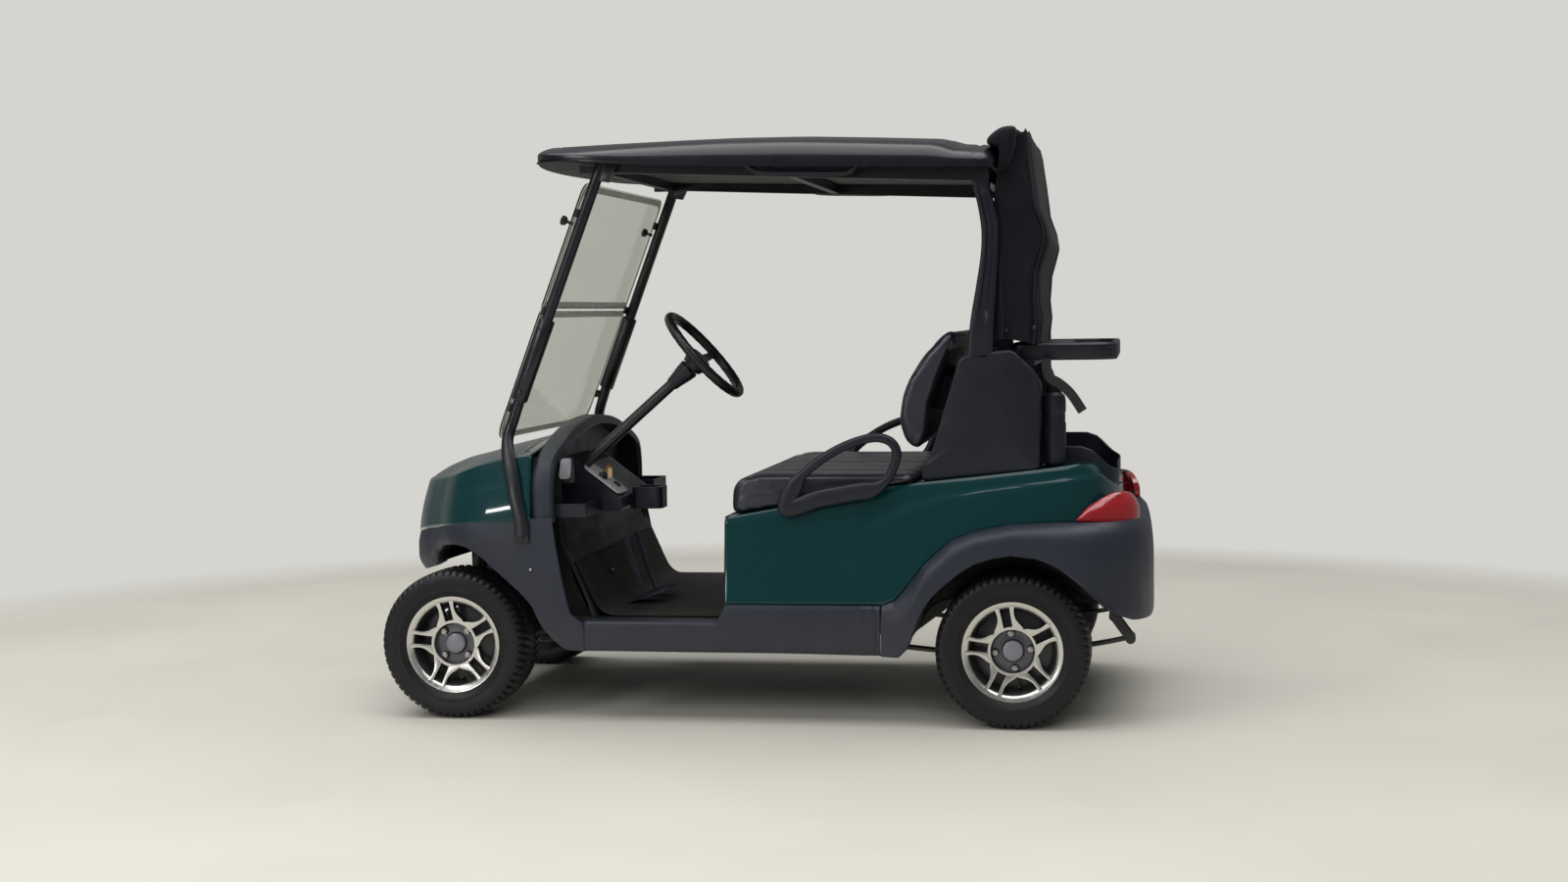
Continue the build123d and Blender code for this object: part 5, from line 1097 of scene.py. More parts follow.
# ================================================================ bag cover
def cover_shapes():
    """The rolled-up bag cover: a curtain that hangs from its bow.  Its outline seen from above,
    a rounded oblong (cosine and sine raised to 0.22), is carried down in rows.  Upright folds,
    sines of the angle, grow towards the foot; both sides carry swags; the rear edge follows the
    sagging line of the cloth, and a lid of shrinking rings closes the top."""
    h = np.linspace(0, 1, 64)[:, None]
    z = 1704 + (1110 - 1704) * h
    rear = read([(1126, -71), (1178, -79), (1233, -73), (1309, -77), (1398, -105), (1440, -98),
                 (1495, -76), (1612, -62), (1674, -55), (1709, -45)], z)
    front = read([(1100, 46), (1250, 49), (1400, 52), (1536, 50), (1610, 40), (1660, 30),
                  (1709, -10)], z)
    half = read([(1100, 472), (1500, 470), (1709, 462)], z)
    a = np.linspace(0, 1, 300, endpoint=False) * FULL_TURN
    ox, oy = signed(np.cos(a), 0.22), signed(np.sin(a), 0.22)
    mid, span = (rear + front) / 2, (front - rear) / 2
    on_side, on_end = np.abs(oy) > 0.98, np.abs(ox) > 0.9
    fold = (6.5 * np.sin(a * 23 + 1.1 * np.sin(3 * h * np.pi))
            + 4.0 * np.sin(a * 41 + 2.0 + 2.2 * h)
            + 2.0 * np.sin(a * 11 + 5 * h)) * (0.25 + 0.75 * h)
    sag = 4.0 * np.sin(FULL_TURN * (h * 2.3 + 0.35 * np.sin(a * 3)))
    swag = 5.0 * np.abs(np.sin(np.pi * (h * 5.2 + 0.9 * ox))) ** 3 * np.sin(np.pi * h)
    d = fold * 0.6 + sag * 0.5 - swag * on_side
    x = mid + span * ox + d * ox * on_end * 0.8
    y = half * oy + np.clip(d, -9, 4) * oy * np.where(on_side, 1.0, 0.3)
    z = z + 3 * np.sin(a * 9) * h + (1 - h) * 6 * np.sin(a * 7) - ease(-ox, -0.9, 0.9) * 15 * h
    pts = np.stack([x, y, z], -1)
    rim, lid = pts[0], [pts[0]]
    for k in np.linspace(0, 1, 10)[1:]:
        puff = 5 * np.sin(k * np.pi) + 2.5 * np.sin(a * 17) * np.sin(np.pi * k)
        lid.append(np.stack([rim[:, 0] * (1 - k) + mid[0] * k, rim[:, 1] * (1 - 0.96 * k),
                             rim[:, 2] + puff], -1))
    return [grid(pts, (False, True)), grid(np.stack(lid), (False, True), (False, True))]


def bow_shapes():
    """The cover's bow behind the roof: a fabric-wrapped hoop that bellies over the roof's edge
    and rounds off over its last 32 mm on both sides."""
    line = through([(62, 1664), (64, 1680), (48, 1697), (22, 1712), (-8, 1714), (-17, 1702),
                    (-14, 1660), (2, 1610), (17, 1590), (34, 1600), (30, 1640), (38, 1662)],
                   66, True)
    y = np.concatenate([np.linspace(-500, -470, 8), np.linspace(-460, 460, 60),
                        np.linspace(470, 500, 8)])
    mid = line.mean(0)
    end = np.clip((np.abs(y) - 468) / 32, 0, 1)
    ripple = 1.6 * np.sin(y / 23) + 1.0 * np.sin(y / 9.7 + 1)
    size = (1 - 0.5 * (1 - np.sqrt(1 - end**2))) * (1 + 0.012 * ripple)
    return [tube(side_on(mid + (line - mid) * size[:, None, None], y[:, None]))]


def button_shapes():
    """The snap buttons at the cover's foot, on both sides."""
    return [rod((x, s * 470, z), (x, s * 479, z), 8, 18, 0, 6, 1.5)
            for x, z in ((15, 1133), (-62, 1140)) for s in (1, -1)]


def strap_shapes():
    """A bag strap's loose end: a flat band carried down an S from the rack, seen from the side."""
    line = through([(-96, 438, 1052), (-98, 441, 1020), (-108, 443, 996), (-134, 444, 980),
                    (-166, 445, 950), (-199, 446, 900)], 40)
    return [tube(carried(line, [(-1.4, -14), (1.4, -14), (1.4, 14), (-1.4, 14)]))]


# ================================================================ steering and dash
COLUMN_TURN = square_to((-math.cos(COLUMN_TILT), 0, math.sin(COLUMN_TILT)), (0, 1, 0))


def shroud_shapes():
    """The shroud under the steering wheel: a turned cone round the column's top."""
    prof = [(18, -60.5), (29, -61), (31.5, -64), (29, -85), (24, -111), (20, -136), (18, -137)]
    return [moved(lathe(prof, 40), STEER_HUB, COLUMN_TURN)]


def steering_shapes(grip_r):
    """The steering wheel: a round grip with finger swells, three spokes that dish down to the
    hub, and a boss with a plain cap and the top of the shaft, 5 mm clear of the column."""
    a = np.linspace(0, FULL_TURN, 120, endpoint=False)
    swell = grip_r * (1 + 0.021 * np.sin(a * 30))
    path = side_on(ring(153, 120), 0.0)
    parts = [grid(carried(path, ring(swell[:, None], 20), (0, 1, 0), True), (True, True))]
    line = through([(26, -24), (60, -22), (100, -14), (132, -3), (146, 0)], 18)
    wide = np.interp(line[:, 0], [26, 60, 110, 146], [21, 15, 12, 15])
    thick = np.interp(line[:, 0], [26, 60, 146], [9, 7, 6])
    prof = np.stack([wide, thick], -1)[:, None] * np.array(
        [(1, 0), (0.8, 1), (-0.8, 1), (-1, 0), (-0.8, -1), (0.8, -1)])
    for t in np.radians((-90, 30, 150)):
        c, s = math.cos(t), math.sin(t)
        along, high = line[:, :1], line[:, 1:]
        parts.append(tube(np.stack([along * c - prof[..., 0] * s, high + prof[..., 1],
                                    along * s + prof[..., 0] * c], -1)))
    boss = [(1, -8), (22, -8), (34, -11), (42, -16), (44, -22), (42, -31), (36, -45), (33, -53.5),
            (30, -54.5), (9, -55), (9, -80), (1, -80)]
    parts.append(lathe(boss, 40))
    return [moved(p, STEER_HUB, COLUMN_TURN) for p in parts]


def key_shapes():
    """The switch plate on the console's slope: a plate, a key switch with its key and tag, and
    the lever for the direction of travel."""
    foot, head = np.array((1202.0, 0, 645.0)), np.array((1326.0, 0, 739.0))
    run = unit(head - foot)
    up = np.array((-run[2], 0, run[0]))
    turn = np.stack([run, (0, 1, 0), up], 1)

    def on(along, off, y):
        return foot + run * along + up * off + (0, y, 0)

    outline = cornered([(6, 208), (6, 328), (136, 328), (150, 300), (150, 230), (132, 208)],
                       16, 6, True)
    mid = outline.mean(0)
    rings = []
    for inset, off in ((2.5, 2.0), (0, 3), (0, 6), (2, 7.6)):
        o = mid + (outline - mid) * (1 - inset / 70)
        rings.append(np.stack([on(k[0], off, k[1]) for k in o]))
    hub = on(84, 6, 286)
    return [tube(np.stack(rings)), rod(hub, hub + up * 12, 15, 24, 1, 13, 2),
            rod(hub + up * 10, hub + up * 17, 9, 20, 1),
            moved(brick((-9, -1.4, 16), (9, 1.4, 44), 1.0, 2), hub, turn),
            moved(brick((-7, -1.5, -34), (7, 1.5, -4), 1, 3), hub + up * 40),
            moved(brick((-12, -7, 5), (12, 7, 12), 2, 1), on(40, 2, 250), turn)]


def label_shapes():
    """The blank grey plate on the dash's near end, on its dark backing."""
    backing = slab(cornered([(1298, 700), (1340, 700), (1342, 776), (1302, 776)], 8, 5, True),
                   476, 483, 1)
    o = cornered([(-17, -31), (17, -31), (17, 31), (-17, 31)], 12, 6, True)
    a, b = unit((0.96, 0.28, 0)), unit((-0.12, -0.02, 0.98))
    n = np.cross(a, b)
    n = n if n[0] < 0 else -n
    rings = [(1325, 485, 742) + o[:, :1] * share * a + o[:, 1:] * share * b + n * high
             for share, high in ((0.97, 0.3), (1, 1.0), (1, 2.0), (0.96, 2.6))]
    return [backing, tube(np.stack(rings))]


# ================================================================ properties
class CartColours(bpy.types.PropertyGroup):
    """Colours that a user would change."""
    paint: bpy.props.FloatVectorProperty(
        name="Body paint", description="Green enamel of the nose and the rear body",
        subtype="COLOR", size=4, min=0, max=1, default=linear("#022D30"))
    plastic: bpy.props.FloatVectorProperty(
        name="Grey plastic", description="Moulded fascia, sills, arch and fenders",
        subtype="COLOR", size=4, min=0, max=1, default=linear("#20242F"))
    black: bpy.props.FloatVectorProperty(
        name="Black plastic", description="Supports, dash and armrests",
        subtype="COLOR", size=4, min=0, max=1, default=linear("#12151E"))
    vinyl: bpy.props.FloatVectorProperty(
        name="Seat vinyl", description="Coated cloth of the seats",
        subtype="COLOR", size=4, min=0, max=1, default=linear("#1C1E28"))
    lens: bpy.props.FloatVectorProperty(
        name="Tail lamp", description="Red acrylic of the tail lamps",
        subtype="COLOR", size=4, min=0, max=1, default=linear("#8C0612"))


class CartSizes(bpy.types.PropertyGroup):
    """Sizes that a user would change; they leave the solid model's outside as it is."""
    tread_mm: bpy.props.FloatProperty(
        name="Tread depth", description="Depth of the tyres' grooves, in millimetres",
        default=6.5, min=1, max=9)
    slot_mm: bpy.props.FloatProperty(
        name="Spoke slot", description="Half width of the slot in a twin spoke, in millimetres",
        default=15, min=8, max=17)
    fascia_bulge_mm: bpy.props.FloatProperty(
        name="Fascia bulge",
        description="How far the fascia's section rounds in at its top, in millimetres",
        default=11.0, min=2, max=20)
    grip_r_mm: bpy.props.FloatProperty(
        name="Grip radius", description="Radius of the steering wheel's grip, in millimetres",
        default=14.5, min=10, max=16)
    pad_swell_mm: bpy.props.FloatProperty(
        name="Pad swell",
        description="How far cloth pressure may blow the seats up, in millimetres",
        default=7.0, min=0, max=12)
    window_light: bpy.props.FloatProperty(
        name="Soft light", description="Power of the lamp ahead of the nose, in watts",
        default=60.0, min=0, max=1000, unit="POWER")


MADE = {}


def finishes():
    """Makes every material once and gives them by name."""
    if MADE:
        return MADE
    c = bpy.context.scene.cart_colours
    dull = {"Specular IOR Level": 0.4}
    # Sprayed enamel under clear lacquer: a deep colour with sharp reflections and an orange peel
    # of 9 mm
    MADE["enamel"] = finish_of(
        "sprayed_green_enamel", c.paint, 0.30,
        {"Coat Weight": 1.0, "Coat Roughness": 0.05, "Coat IOR": 1.36, "Specular IOR Level": 0.1},
        vary=0.10, vary_mm=220, rough_vary=0.05, wave_mm=9, wave=0.02, dust=0.10)
    # Moulded polypropylene: a spark-eroded grain of 1.6 mm gives a broad dull sheen, scuffed low
    MADE["grey"] = finish_of(
        "moulded_grey_polypropylene", c.plastic, 0.46, dull, vary_mm=130, rough_vary=0.09,
        grain_mm=1.6, grain=0.10, wave_mm=40, wave=0.12, dust=0.2)
    # Moulded black ABS: darker, a little glossier, a grain of 1.4 mm
    MADE["black"] = finish_of(
        "moulded_black_abs", c.black, 0.42, dull, vary=0.14, vary_mm=110, grain_mm=1.4,
        grain=0.08, wave_mm=30, wave=0.06, dust=0.1)
    # Vacuum-formed canopy sheet: smooth ABS with slow waves of 120 mm that bend its highlights
    MADE["canopy"] = finish_of(
        "vacuum_formed_black_abs", "#0E1017", 0.29, dull, vary_mm=160, rough_vary=0.05,
        grain_mm=1.2, grain=0.04, wave_mm=120, wave=0.05)
    # Powder-coated steel: satin black with a fine orange peel of 2 mm
    MADE["powder"] = finish_of(
        "powder_coated_black_steel", "#111318", 0.34, {"IOR": 1.5}, grain_mm=2.0, grain=0.06,
        dust=0.4)
    # Cast iron and machined steel below the floor: dull grey-brown, rusty in patches of 25 mm
    MADE["cast"] = finish_of(
        "cast_iron", "#2C2927", 0.62, {"Metallic": 0.55}, vary=0.35, vary_mm=25, grain_mm=3.0,
        grain=0.35, dust=0.5)
    # Battery cases: moulded black polypropylene, dusty, with sink marks of 25 mm
    MADE["battery"] = finish_of(
        "moulded_battery_case", "#0E0F11", 0.55, vary=0.2, vary_mm=70, wave_mm=25, wave=0.2,
        dust=0.4)
    # Coated cloth embossed as leather: cells of 4 mm, drawn a little coarse, soft highlights
    MADE["vinyl"] = finish_of(
        "embossed_vinyl", c.vinyl, 0.36, {"Coat Weight": 0.35, "Coat Roughness": 0.28}, vary=0.14,
        vary_mm=90, grain_mm=4.0, grain=0.16, cells=True, wave_mm=70, wave=1.4)
    # Vulcanised tyre rubber: nearly black, dull, with a little brown dust; grain of 2.2 mm
    MADE["tyre"] = finish_of(
        "vulcanised_tyre_rubber", "#101115", 0.48, {"Specular IOR Level": 0.3}, vary=0.18,
        vary_mm=45, rough_vary=0.12, grain_mm=2.2, grain=0.12, dust=0.04)
    # Turned aluminium: bright; tool marks too fine to draw are shown as a drift over 18 mm
    MADE["machined"] = finish_of(
        "turned_aluminium", "#D6D4D0", 0.30, {"Metallic": 1.0}, vary=0.06, vary_mm=18,
        grain_mm=1.2, grain=0.02, dust=0.18)
    # Painted pockets of the wheels: dark grey metallic lacquer, drifting over 25 mm
    MADE["pocket"] = finish_of(
        "dark_wheel_lacquer", "#2E2F34", 0.42, {"Metallic": 0.6, "Coat Weight": 0.4}, vary=0.15,
        vary_mm=25, dust=0.3)
    # Hub cup: the same casting, lacquered a lighter grey, drifting over 20 mm
    MADE["cup"] = finish_of(
        "silver_wheel_lacquer", "#54555B", 0.38, {"Metallic": 0.7, "Coat Weight": 0.4}, vary=0.14,
        vary_mm=20, dust=0.25)
    # Zinc-plated nuts and screws: bright, blotched over 9 mm
    MADE["zinc"] = finish_of("zinc_plated_steel", "#B0AEA8", 0.36, {"Metallic": 1.0}, vary=0.2,
                             vary_mm=9)
    # Centre cap: grey moulded plastic with a faint gloss, drifting over 20 mm
    MADE["cap"] = finish_of("moulded_grey_cap", "#6E7077", 0.34, {"Coat Weight": 0.3}, vary=0.08,
                            vary_mm=20)
    # Clear red acrylic over a reflector: glossy, deep red, with prisms of 7 mm; its faint red
    # emission is a painted glow that stands in for the light the reflector throws back
    MADE["lens"] = finish_of(
        "red_acrylic_lens_with_painted_glow", c.lens, 0.16,
        {"Coat Weight": 1.0, "Coat Roughness": 0.03, "IOR": 1.49, "Subsurface Weight": 0.3,
         "Subsurface Scale": 0.01, "Emission Strength": 0.02, "Emission Color": linear("#C01020")},
        vary=0.35, vary_mm=30, rough_vary=0.03, wave_mm=7, wave=0.5)
    # Extruded acrylic sheet, smoke tinted: clear enough to see through, with a sharp reflection
    MADE["acrylic"] = finish_of(
        "smoked_acrylic_sheet", "#D2D4CA", 0.06, {"Transmission Weight": 1.0, "IOR": 1.12},
        vary=0.02, vary_mm=300, rough_vary=0.02)
    # Polished edges of the panes: they gather light and look pale
    MADE["edge"] = finish_of("polished_acrylic_edge", "#C2C3BA", 0.25, vary=0.05, vary_mm=120)
    # Smoked band round the panes: half clear, a shade darker than the sheet
    MADE["band"] = finish_of("smoked_edge_band", "#55543F", 0.3, {"Alpha": 0.5}, vary=0.05,
                             vary_mm=200)
    # Woven polyester of the bag cover: threads drawn at 3 mm, creases of 45 mm, faint sheen
    MADE["cloth"] = finish_of(
        "woven_black_polyester", "#14141A", 0.75, {"Specular IOR Level": 0.1, "Sheen Weight": 0.04},
        vary=0.3, vary_mm=55, grain_mm=3.0, grain=0.35, wave_mm=45, wave=3.0)
    # Rubber mat: dull black, dusty, a grain of 2.5 mm
    MADE["mat"] = finish_of(
        "moulded_rubber_mat", "#0C0B0C", 0.65, {"Specular IOR Level": 0.25}, vary=0.3, vary_mm=70,
        grain_mm=2.5, grain=0.2, dust=0.16, dust_to=0.6)
    # Soft polyurethane grip: satin, a grain of 1.6 mm
    MADE["grip"] = finish_of("soft_polyurethane_grip", "#0E0F14", 0.40, vary=0.1, vary_mm=50,
                             grain_mm=1.6, grain=0.12)
    # Silver-grey moulded plate: flat metallic plastic, a grain of 1.2 mm
    MADE["plate"] = finish_of("silver_moulded_plate", "#A2A2A3", 0.42, {"Metallic": 0.25},
                              vary=0.08, vary_mm=30, grain_mm=1.2, grain=0.05)
    # Brass key: worn bright in patches of 6 mm
    MADE["brass"] = finish_of("worn_brass", "#B08B52", 0.35, {"Metallic": 1.0}, vary=0.2,
                              vary_mm=6)
    # Fibre tag: matt tan board, fibres of 1.5 mm
    MADE["tag"] = finish_of("fibre_board_tag", "#B59A76", 0.7, vary=0.15, vary_mm=8, grain_mm=1.5,
                            grain=0.1)
    # Grey vinyl label, blank: even and dull
    MADE["label"] = finish_of("blank_vinyl_label", "#777A80", 0.5, vary=0.06, vary_mm=20)
    # Webbing: tight polyester weave of 2.4 mm
    MADE["webbing"] = finish_of("woven_webbing", "#0C0C10", 0.7, {"Sheen Weight": 0.3}, vary=0.15,
                                vary_mm=20, grain_mm=2.4, grain=0.4, stretch=(1, 1, 2.5))
    # Under-roof liner and other hidden moulded sheet: matt black, a grain of 2 mm
    MADE["liner"] = finish_of("moulded_liner_sheet", "#08090C", 0.6, vary=0.1, vary_mm=90,
                              grain_mm=2, grain=0.1)
    return MADE


# ================================================================ stage
PHOTO_WIDTH, PHOTO_FOCAL = 1600, 2096.9      # pixels
CAMERA_PLACE = np.array((-0.368 + REAR_X / 1000, 6.380, 1.194))
CAMERA_TURN = (9.924, 3.562, -0.899)         # yaw, pitch and roll in degrees
FLOOR_FADES = (3.6, 4.3)                     # metres from the middle


def placed(name, data, x, y, z, place):
    """A lamp or camera whose three axes and place are given."""
    obj = bpy.data.objects.new(name, data)
    bpy.context.scene.collection.objects.link(obj)
    obj.matrix_world = Matrix([[x[i], y[i], z[i], place[i]] for i in range(3)] + [[0, 0, 0, 1]])
    return obj


def lamp(name, place, aim, size, power):
    """A rectangular soft lamp that shines from place towards aim."""
    light = bpy.data.lights.new(name, "AREA")
    light.shape, light.size, light.size_y = "RECTANGLE", size[0], size[1]
    light.energy = power
    z = unit(np.array(place, float) - aim)
    x = unit(np.cross((0, 0, 1) if abs(z[2]) < 0.98 else (0, 1, 0), z))
    return placed(name, light, x, np.cross(z, x), z, place)


def make_floor():
    """A large round sheet just below the tyres: sealed concrete, pale and dull with a grain of
    12 mm, that turns clear away from the cart so that the backdrop takes over."""
    r = np.linspace(0.4, 34000, 12)[:, None]
    pts = np.concatenate([ring(r, 48), np.full((12, 48, 1), -0.6)], -1)
    verts, quads, tris, _ = grid(pts, (False, True), (True, False))
    mesh = bpy.data.meshes.new("floor")
    mesh.from_pydata((verts / 1000).tolist(), [],
                     quads[:, ::-1].tolist() + tris[:, ::-1].tolist())
    mesh.update()
    floor = bpy.data.objects.new("floor", mesh)
    bpy.context.scene.collection.objects.link(floor)
    concrete = finish_of("sealed_concrete_floor", "#BEBBB1", 0.62, vary=0.05, vary_mm=900,
                         grain_mm=12, grain=0.1)
    tree = concrete.node_tree
    lit, out = (next(n for n in tree.nodes if n.type == kind)
                for kind in ("BSDF_PRINCIPLED", "OUTPUT_MATERIAL"))
    where = put(tree, "ShaderNodeTexCoord").outputs["Object"]
    far = put(tree, "ShaderNodeVectorMath", links={0: where}, operation="LENGTH")
    clear = put(tree, "ShaderNodeBsdfTransparent")
    fading = put(tree, "ShaderNodeMixShader", links={
        0: ramp(tree, far.outputs["Value"], *FLOOR_FADES), 1: lit.outputs[0],
        2: clear.outputs[0]})
    tree.links.new(fading.outputs[0], out.inputs["Surface"])
    mesh.materials.append(concrete)


class CART_OT_stage(bpy.types.Operator):
    """Pale floor and backdrop, soft lamps and the camera"""
    bl_idname = "cart.stage"
    bl_label = "Stage"

    def execute(self, context):
        scene = context.scene
        scene.view_settings.view_transform = "Standard"
        world = bpy.data.worlds.new("soft_room")
        scene.world = world
        world.use_nodes = True
        tree = world.node_tree
        tree.nodes.clear()
        # the camera sees a pale wall; everything else is lit by a dimmer room
        path = put(tree, "ShaderNodeLightPath")
        seen = put(tree, "ShaderNodeMath", links={
            0: path.outputs["Is Camera Ray"], 1: path.outputs["Is Transmission Ray"]},
            operation="MAXIMUM")
        room, wall = (put(tree, "ShaderNodeBackground", {"Color": linear(code), "Strength": k})
                      for code, k in (("#E2E3E2", 0.25), ("#D5D4D0", 1.0)))
        mix = put(tree, "ShaderNodeMixShader", links={
            0: seen.outputs[0], 1: room.outputs[0], 2: wall.outputs[0]})
        put(tree, "ShaderNodeOutputWorld", links={"Surface": mix.outputs[0]})
        make_floor()
        lamp("ceiling", (0.3, 0.4, 7.0), (0.3, 0.3, 0), (12.0, 9.0), 900)
        lamp("window", (3.4, 4.6, 3.6), (0.6, 0, 0.7), (1.5, 1.0), scene.cart_sizes.window_light)
        lamp("strip", (3.0, 5.1, 0.98), (0.7, 0.6, 0.6), (0.9, 0.13), 20)
        lamp("near", (-0.6, 6.5, 3.4), (0, 0, 0.6), (4.5, 2.0), 150).visible_glossy = False

        yaw, pitch, roll = (math.radians(k) for k in CAMERA_TURN)
        ahead = np.array((math.sin(yaw), -math.cos(yaw), 0))
        right = np.array((-math.cos(yaw), -math.sin(yaw), 0))
        above = np.array((0, 0, 1.0))
        view = math.cos(pitch) * ahead - math.sin(pitch) * above
        up = math.sin(pitch) * ahead + math.cos(pitch) * above
        x = right * math.cos(roll) + up * math.sin(roll)
        y = up * math.cos(roll) - right * math.sin(roll)
        data = bpy.data.cameras.new("camera")
        data.sensor_width, data.lens = 36.0, 36.0 * PHOTO_FOCAL / PHOTO_WIDTH
        scene.camera = placed("camera", data, x, y, -view, CAMERA_PLACE)
        return {"FINISHED"}


# ================================================================ operators
SKIN = 5                                     # wall of the moulded body panels


class CART_OT_wheels(bpy.types.Operator):
    """Tyres with their tread, rims, hubs and brake drums"""
    bl_idname = "cart.wheels"
    bl_label = "Wheels"

    def execute(self, context):
        f, sizes = finishes(), context.scene.cart_sizes
        alloy = [f[k] for k in ("machined", "pocket", "cup", "zinc", "cap", "tyre")]
        for name, x, y, s, turn, nuts in WHEELS:
            place = (x, s * y, AXLE_Z)
            hub, r = (("drum", 85.0) if name.startswith("rear") else ("hub", 48.0))
            for label, shapes, finish, node, slot, angle in (
                    (f"tyre_{name}_tread", [tyre_shape(sizes.tread_mm)], f["tyre"], "tyre",
                     "tyre", 40),
                    (f"rim_{name}_alloy", rim_shapes(turn, nuts, sizes.slot_mm), alloy, "rim",
                     "alloy", 30),
                    (f"hub_{name}_cast", hub_shapes(r), f["cast"], hub, "cast_parts", 35)):
                piece(label, [moved(outward(k), place, flip=s < 0) for k in shapes], finish,
                      [f"{node}_{name}"], f"wheel_{name}", angle)
        return {"FINISHED"}


class CART_OT_front_body(bpy.types.Operator):
    """Fascia, green nose and the arch round the dash"""
    bl_idname = "cart.front_body"
    bl_label = "Front body"

    def execute(self, context):
        f, bulge = finishes(), context.scene.cart_sizes.fascia_bulge_mm
        inside = (1500, 0, 500)
        piece("front_fascia_skin", fascia_shapes(bulge), f["grey"], ["front_fascia"],
              wall=SKIN, middle=inside)
        piece("front_hood_skin", hood_shapes(bulge), f["enamel"], ["front_hood"],
              wall=SKIN, middle=inside, angle=28)
        piece("cowl_arch_skin", cowl_shapes(), f["grey"], ["cowl_arch"],
              middle=(1380, 0, 300))
        piece("door_jamb_panels", both(jamb_shapes()), f["liner"])
        piece("fascia_screws", screw_shapes(), [f["liner"], f["zinc"]])
        return {"FINISHED"}


class CART_OT_floor(bpy.types.Operator):
    """Sills, floor mat, pedals and what lies below the floor"""
    bl_idname = "cart.floor"
    bl_label = "Floor and chassis"

    def execute(self, context):
        f = finishes()
        left, right = both(sill_shapes())
        piece("side_sill_skins", [left], f["grey"], ["side_sills"], wall=SKIN,
              middle=(800, 500, 250))
        piece("side_sill_skin_right", [right], f["grey"], wall=SKIN,
              middle=(800, -500, 250))
        piece("floor_mat_ribs", mat_shapes(), f["mat"], ["floor_mat"], wall=3,
              middle=(1000, 0, -2000))
        dress(f["grey"], "pedals")
        dress(f["black"], "dash_panel")
        dress(f["liner"], "floor_pan", "seat_back_panel", "roof_liner")
        dress(f["powder"], "chassis_frame", "front_suspension", "knuckle_left", "knuckle_right",
              "leaf_springs", "spring_shackles", "shocks_front", "shocks_rear", "roof_frame",
              "windshield_clips", "steering_column")
        dress(f["cast"], "transaxle", "rack_housing", "steering_rack")
        dress(f["battery"], "battery_pack")
        return {"FINISHED"}


class CART_OT_rear_body(bpy.types.Operator):
    """Green rear body, fenders with the bumper, and the tail lamps"""
    bl_idname = "cart.rear_body"
    bl_label = "Rear body"

    def execute(self, context):
        f = finishes()
        piece("rear_body_skin", rear_shell_shapes(), f["enamel"], ["rear_body"],
              wall=SKIN, middle=(200, 0, 450), angle=28)
        piece("rear_fender_skin", fender_shapes(), f["grey"],
              ["rear_fender_left", "rear_fender_right"], wall=SKIN,
              middle=(0, 0, 450))
        piece("rear_arch_liners", both(liner_shapes()), f["liner"],
              wall=3, middle=(0, 0, 200))
        piece("bag_well_tub", well_shapes(), f["black"], ["bagwell_liner"],
              middle=(-190, 0, 640))
        piece("tail_lamp_lenses", both(lamp_shapes()), f["lens"], ["tail_lamps"],
              angle=50)
        return {"FINISHED"}


class CART_OT_seats(bpy.types.Operator):
    """Seat cushion and back as stuffed pads, and the armrests"""
    bl_idname = "cart.seats"
    bl_label = "Seats"

    def execute(self, context):
        f, swell = finishes(), context.scene.cart_sizes.pad_swell_mm
        pad_of("seat_cushion_pad",
               [(828, 604), (600, 644), (354, 690), (274, 704), (278, 722), (520, 722),
                (740, 722), (806, 706), (824, 680)],
               498, ["seat_cushion"], 0.10, cushion_pinch, swell * 0.5)
        pad_of("seat_back_pad",
               [(274, 788), (308, 812), (326, 872), (314, 948), (294, 998), (255, 1060),
                (198, 1122), (172, 1140), (160, 1128), (200, 1040), (244, 925), (254, 815)],
               478, ["seat_back"], 0.22, back_pinch, swell * 0.7)
        piece("armrest_loops", both(arm_shapes()), f["black"], ["armrests"],
              angle=40)
        return {"FINISHED"}


class CART_OT_roof(bpy.types.Operator):
    """Canopy and its grab handles"""
    bl_idname = "cart.roof"
    bl_label = "Roof"

    def execute(self, context):
        f = finishes()
        piece("roof_canopy", roof_shapes(), f["canopy"], ["roof"], wall=4,
              middle=(750, 0, 1500), angle=40)
        piece("roof_grab_handles", both(handle_shapes()), f["black"], ["roof_handles"])
        return {"FINISHED"}


class CART_OT_windshield(bpy.types.Operator):
    """Front struts, the two panes and the joint between them"""
    bl_idname = "cart.windshield"
    bl_label = "Struts and windshield"

    def execute(self, context):
        f = finishes()
        piece("front_strut_tubes", both(strut_shapes()), f["powder"], ["front_struts"])
        piece("windshield_lower_pane", pane_shapes(LOWER_PANE), f["acrylic"],
              ["windshield_lower"])
        piece("windshield_upper_pane", pane_shapes(UPPER_PANE), f["acrylic"],
              ["windshield_upper"])
        piece("windshield_edge_bands", band_shapes(LOWER_PANE, 17) + band_shapes(UPPER_PANE, 20),
              f["band"])
        piece("windshield_joint", hinge_shapes(), f["edge"])
        return {"FINISHED"}


class CART_OT_rear_supports(bpy.types.Operator):
    """Rear supports and posts, bag rack, seed bottle and strap"""
    bl_idname = "cart.rear_supports"
    bl_label = "Rear supports"

    def execute(self, context):
        f = finishes()
        piece("rear_support_mouldings", both(support_shapes()), f["black"], ["rear_supports"],
              angle=40)
        piece("bag_rack_moulding", rack_shapes(), f["black"], ["bag_rack"])
        piece("sand_bottle_body", bottle_shapes(), [f["black"], f["mat"]], ["sand_bottle"])
        strap = piece("bag_strap_end", strap_shapes(), f["webbing"])
        return {"FINISHED"}


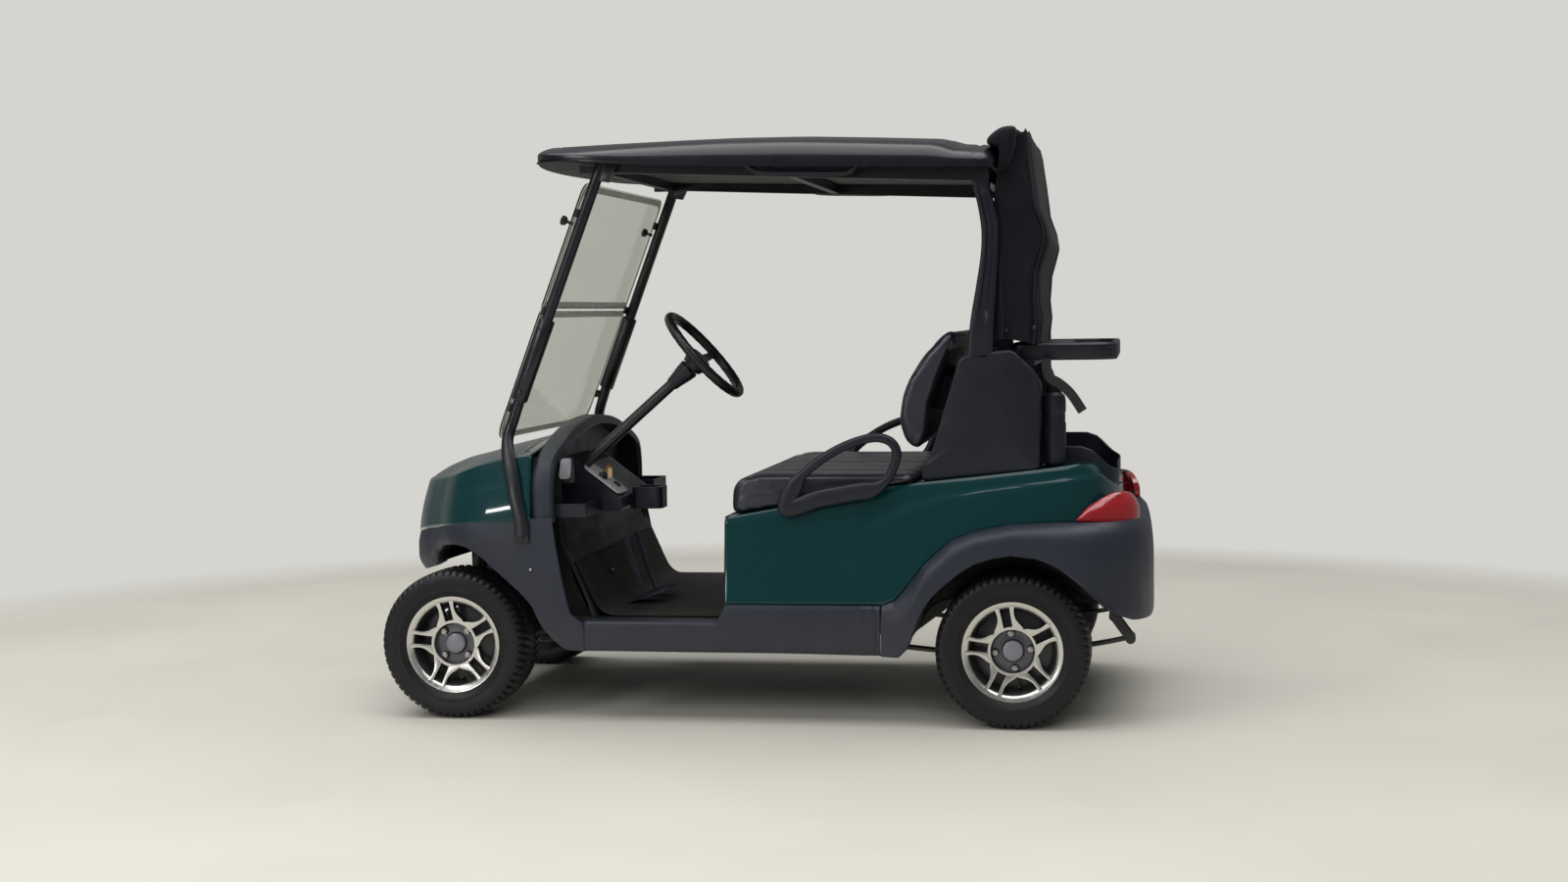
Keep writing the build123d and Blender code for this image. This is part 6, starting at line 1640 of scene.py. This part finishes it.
class CART_OT_bag_cover(bpy.types.Operator):
    """The rolled-up bag cover and its bow"""
    bl_idname = "cart.bag_cover"
    bl_label = "Bag cover"

    def execute(self, context):
        f = finishes()
        cover = piece("bag_cover_cloth", cover_shapes(), f["cloth"], ["bag_cover"],
                      middle=(-60, 0, 1400), sharp=False)
        bow = piece("bag_cover_bow_cloth", bow_shapes(), f["cloth"], ["bag_cover_bow"],
                    sharp=False)
        piece("cover_buttons", button_shapes(), f["powder"])
        return {"FINISHED"}


class CART_OT_steering(bpy.types.Operator):
    """Steering wheel, switch plate and labels"""
    bl_idname = "cart.steering"
    bl_label = "Steering and dash"

    def execute(self, context):
        f, sizes = finishes(), context.scene.cart_sizes
        piece("steering_wheel_grip", steering_shapes(sizes.grip_r_mm), f["grip"],
              ["steering_wheel"], "steering_wheel", angle=40)
        piece("column_shroud", shroud_shapes(), f["black"])
        piece("switch_plate", key_shapes(), [f["plate"], f["black"], f["brass"], f["tag"]],
              ["key_plate"])
        piece("blank_label", label_shapes(), [f["label"], f["liner"]])
        return {"FINISHED"}


class CART_PT_panel(bpy.types.Panel):
    """Lists the cart's groups, sizes and colours"""
    bl_idname = "CART_PT_panel"
    bl_label = "Golf cart"
    bl_space_type = "VIEW_3D"
    bl_region_type = "UI"
    bl_category = "Golf cart"

    def draw(self, context):
        for group in (context.scene.cart_colours, context.scene.cart_sizes):
            for name in group.__annotations__:
                self.layout.prop(group, name)
        for step in STEPS:
            self.layout.operator(step.bl_idname)


STEPS = (CART_OT_stage, CART_OT_wheels, CART_OT_front_body, CART_OT_floor, CART_OT_rear_body,
         CART_OT_seats, CART_OT_roof, CART_OT_windshield, CART_OT_rear_supports,
         CART_OT_bag_cover, CART_OT_steering)


def register():
    for kind in (CartColours, CartSizes, *STEPS, CART_PT_panel):
        bpy.utils.register_class(kind)
    bpy.types.Scene.cart_colours = bpy.props.PointerProperty(type=CartColours)
    bpy.types.Scene.cart_sizes = bpy.props.PointerProperty(type=CartSizes)


def unregister():
    del bpy.types.Scene.cart_colours
    del bpy.types.Scene.cart_sizes
    for kind in (CART_PT_panel, *STEPS[::-1], CartSizes, CartColours):
        bpy.utils.unregister_class(kind)


def main():
    register()
    for step in STEPS:
        group, name = step.bl_idname.split(".")
        getattr(getattr(bpy.ops, group), name)()


if __name__ == "__main__":
    main()
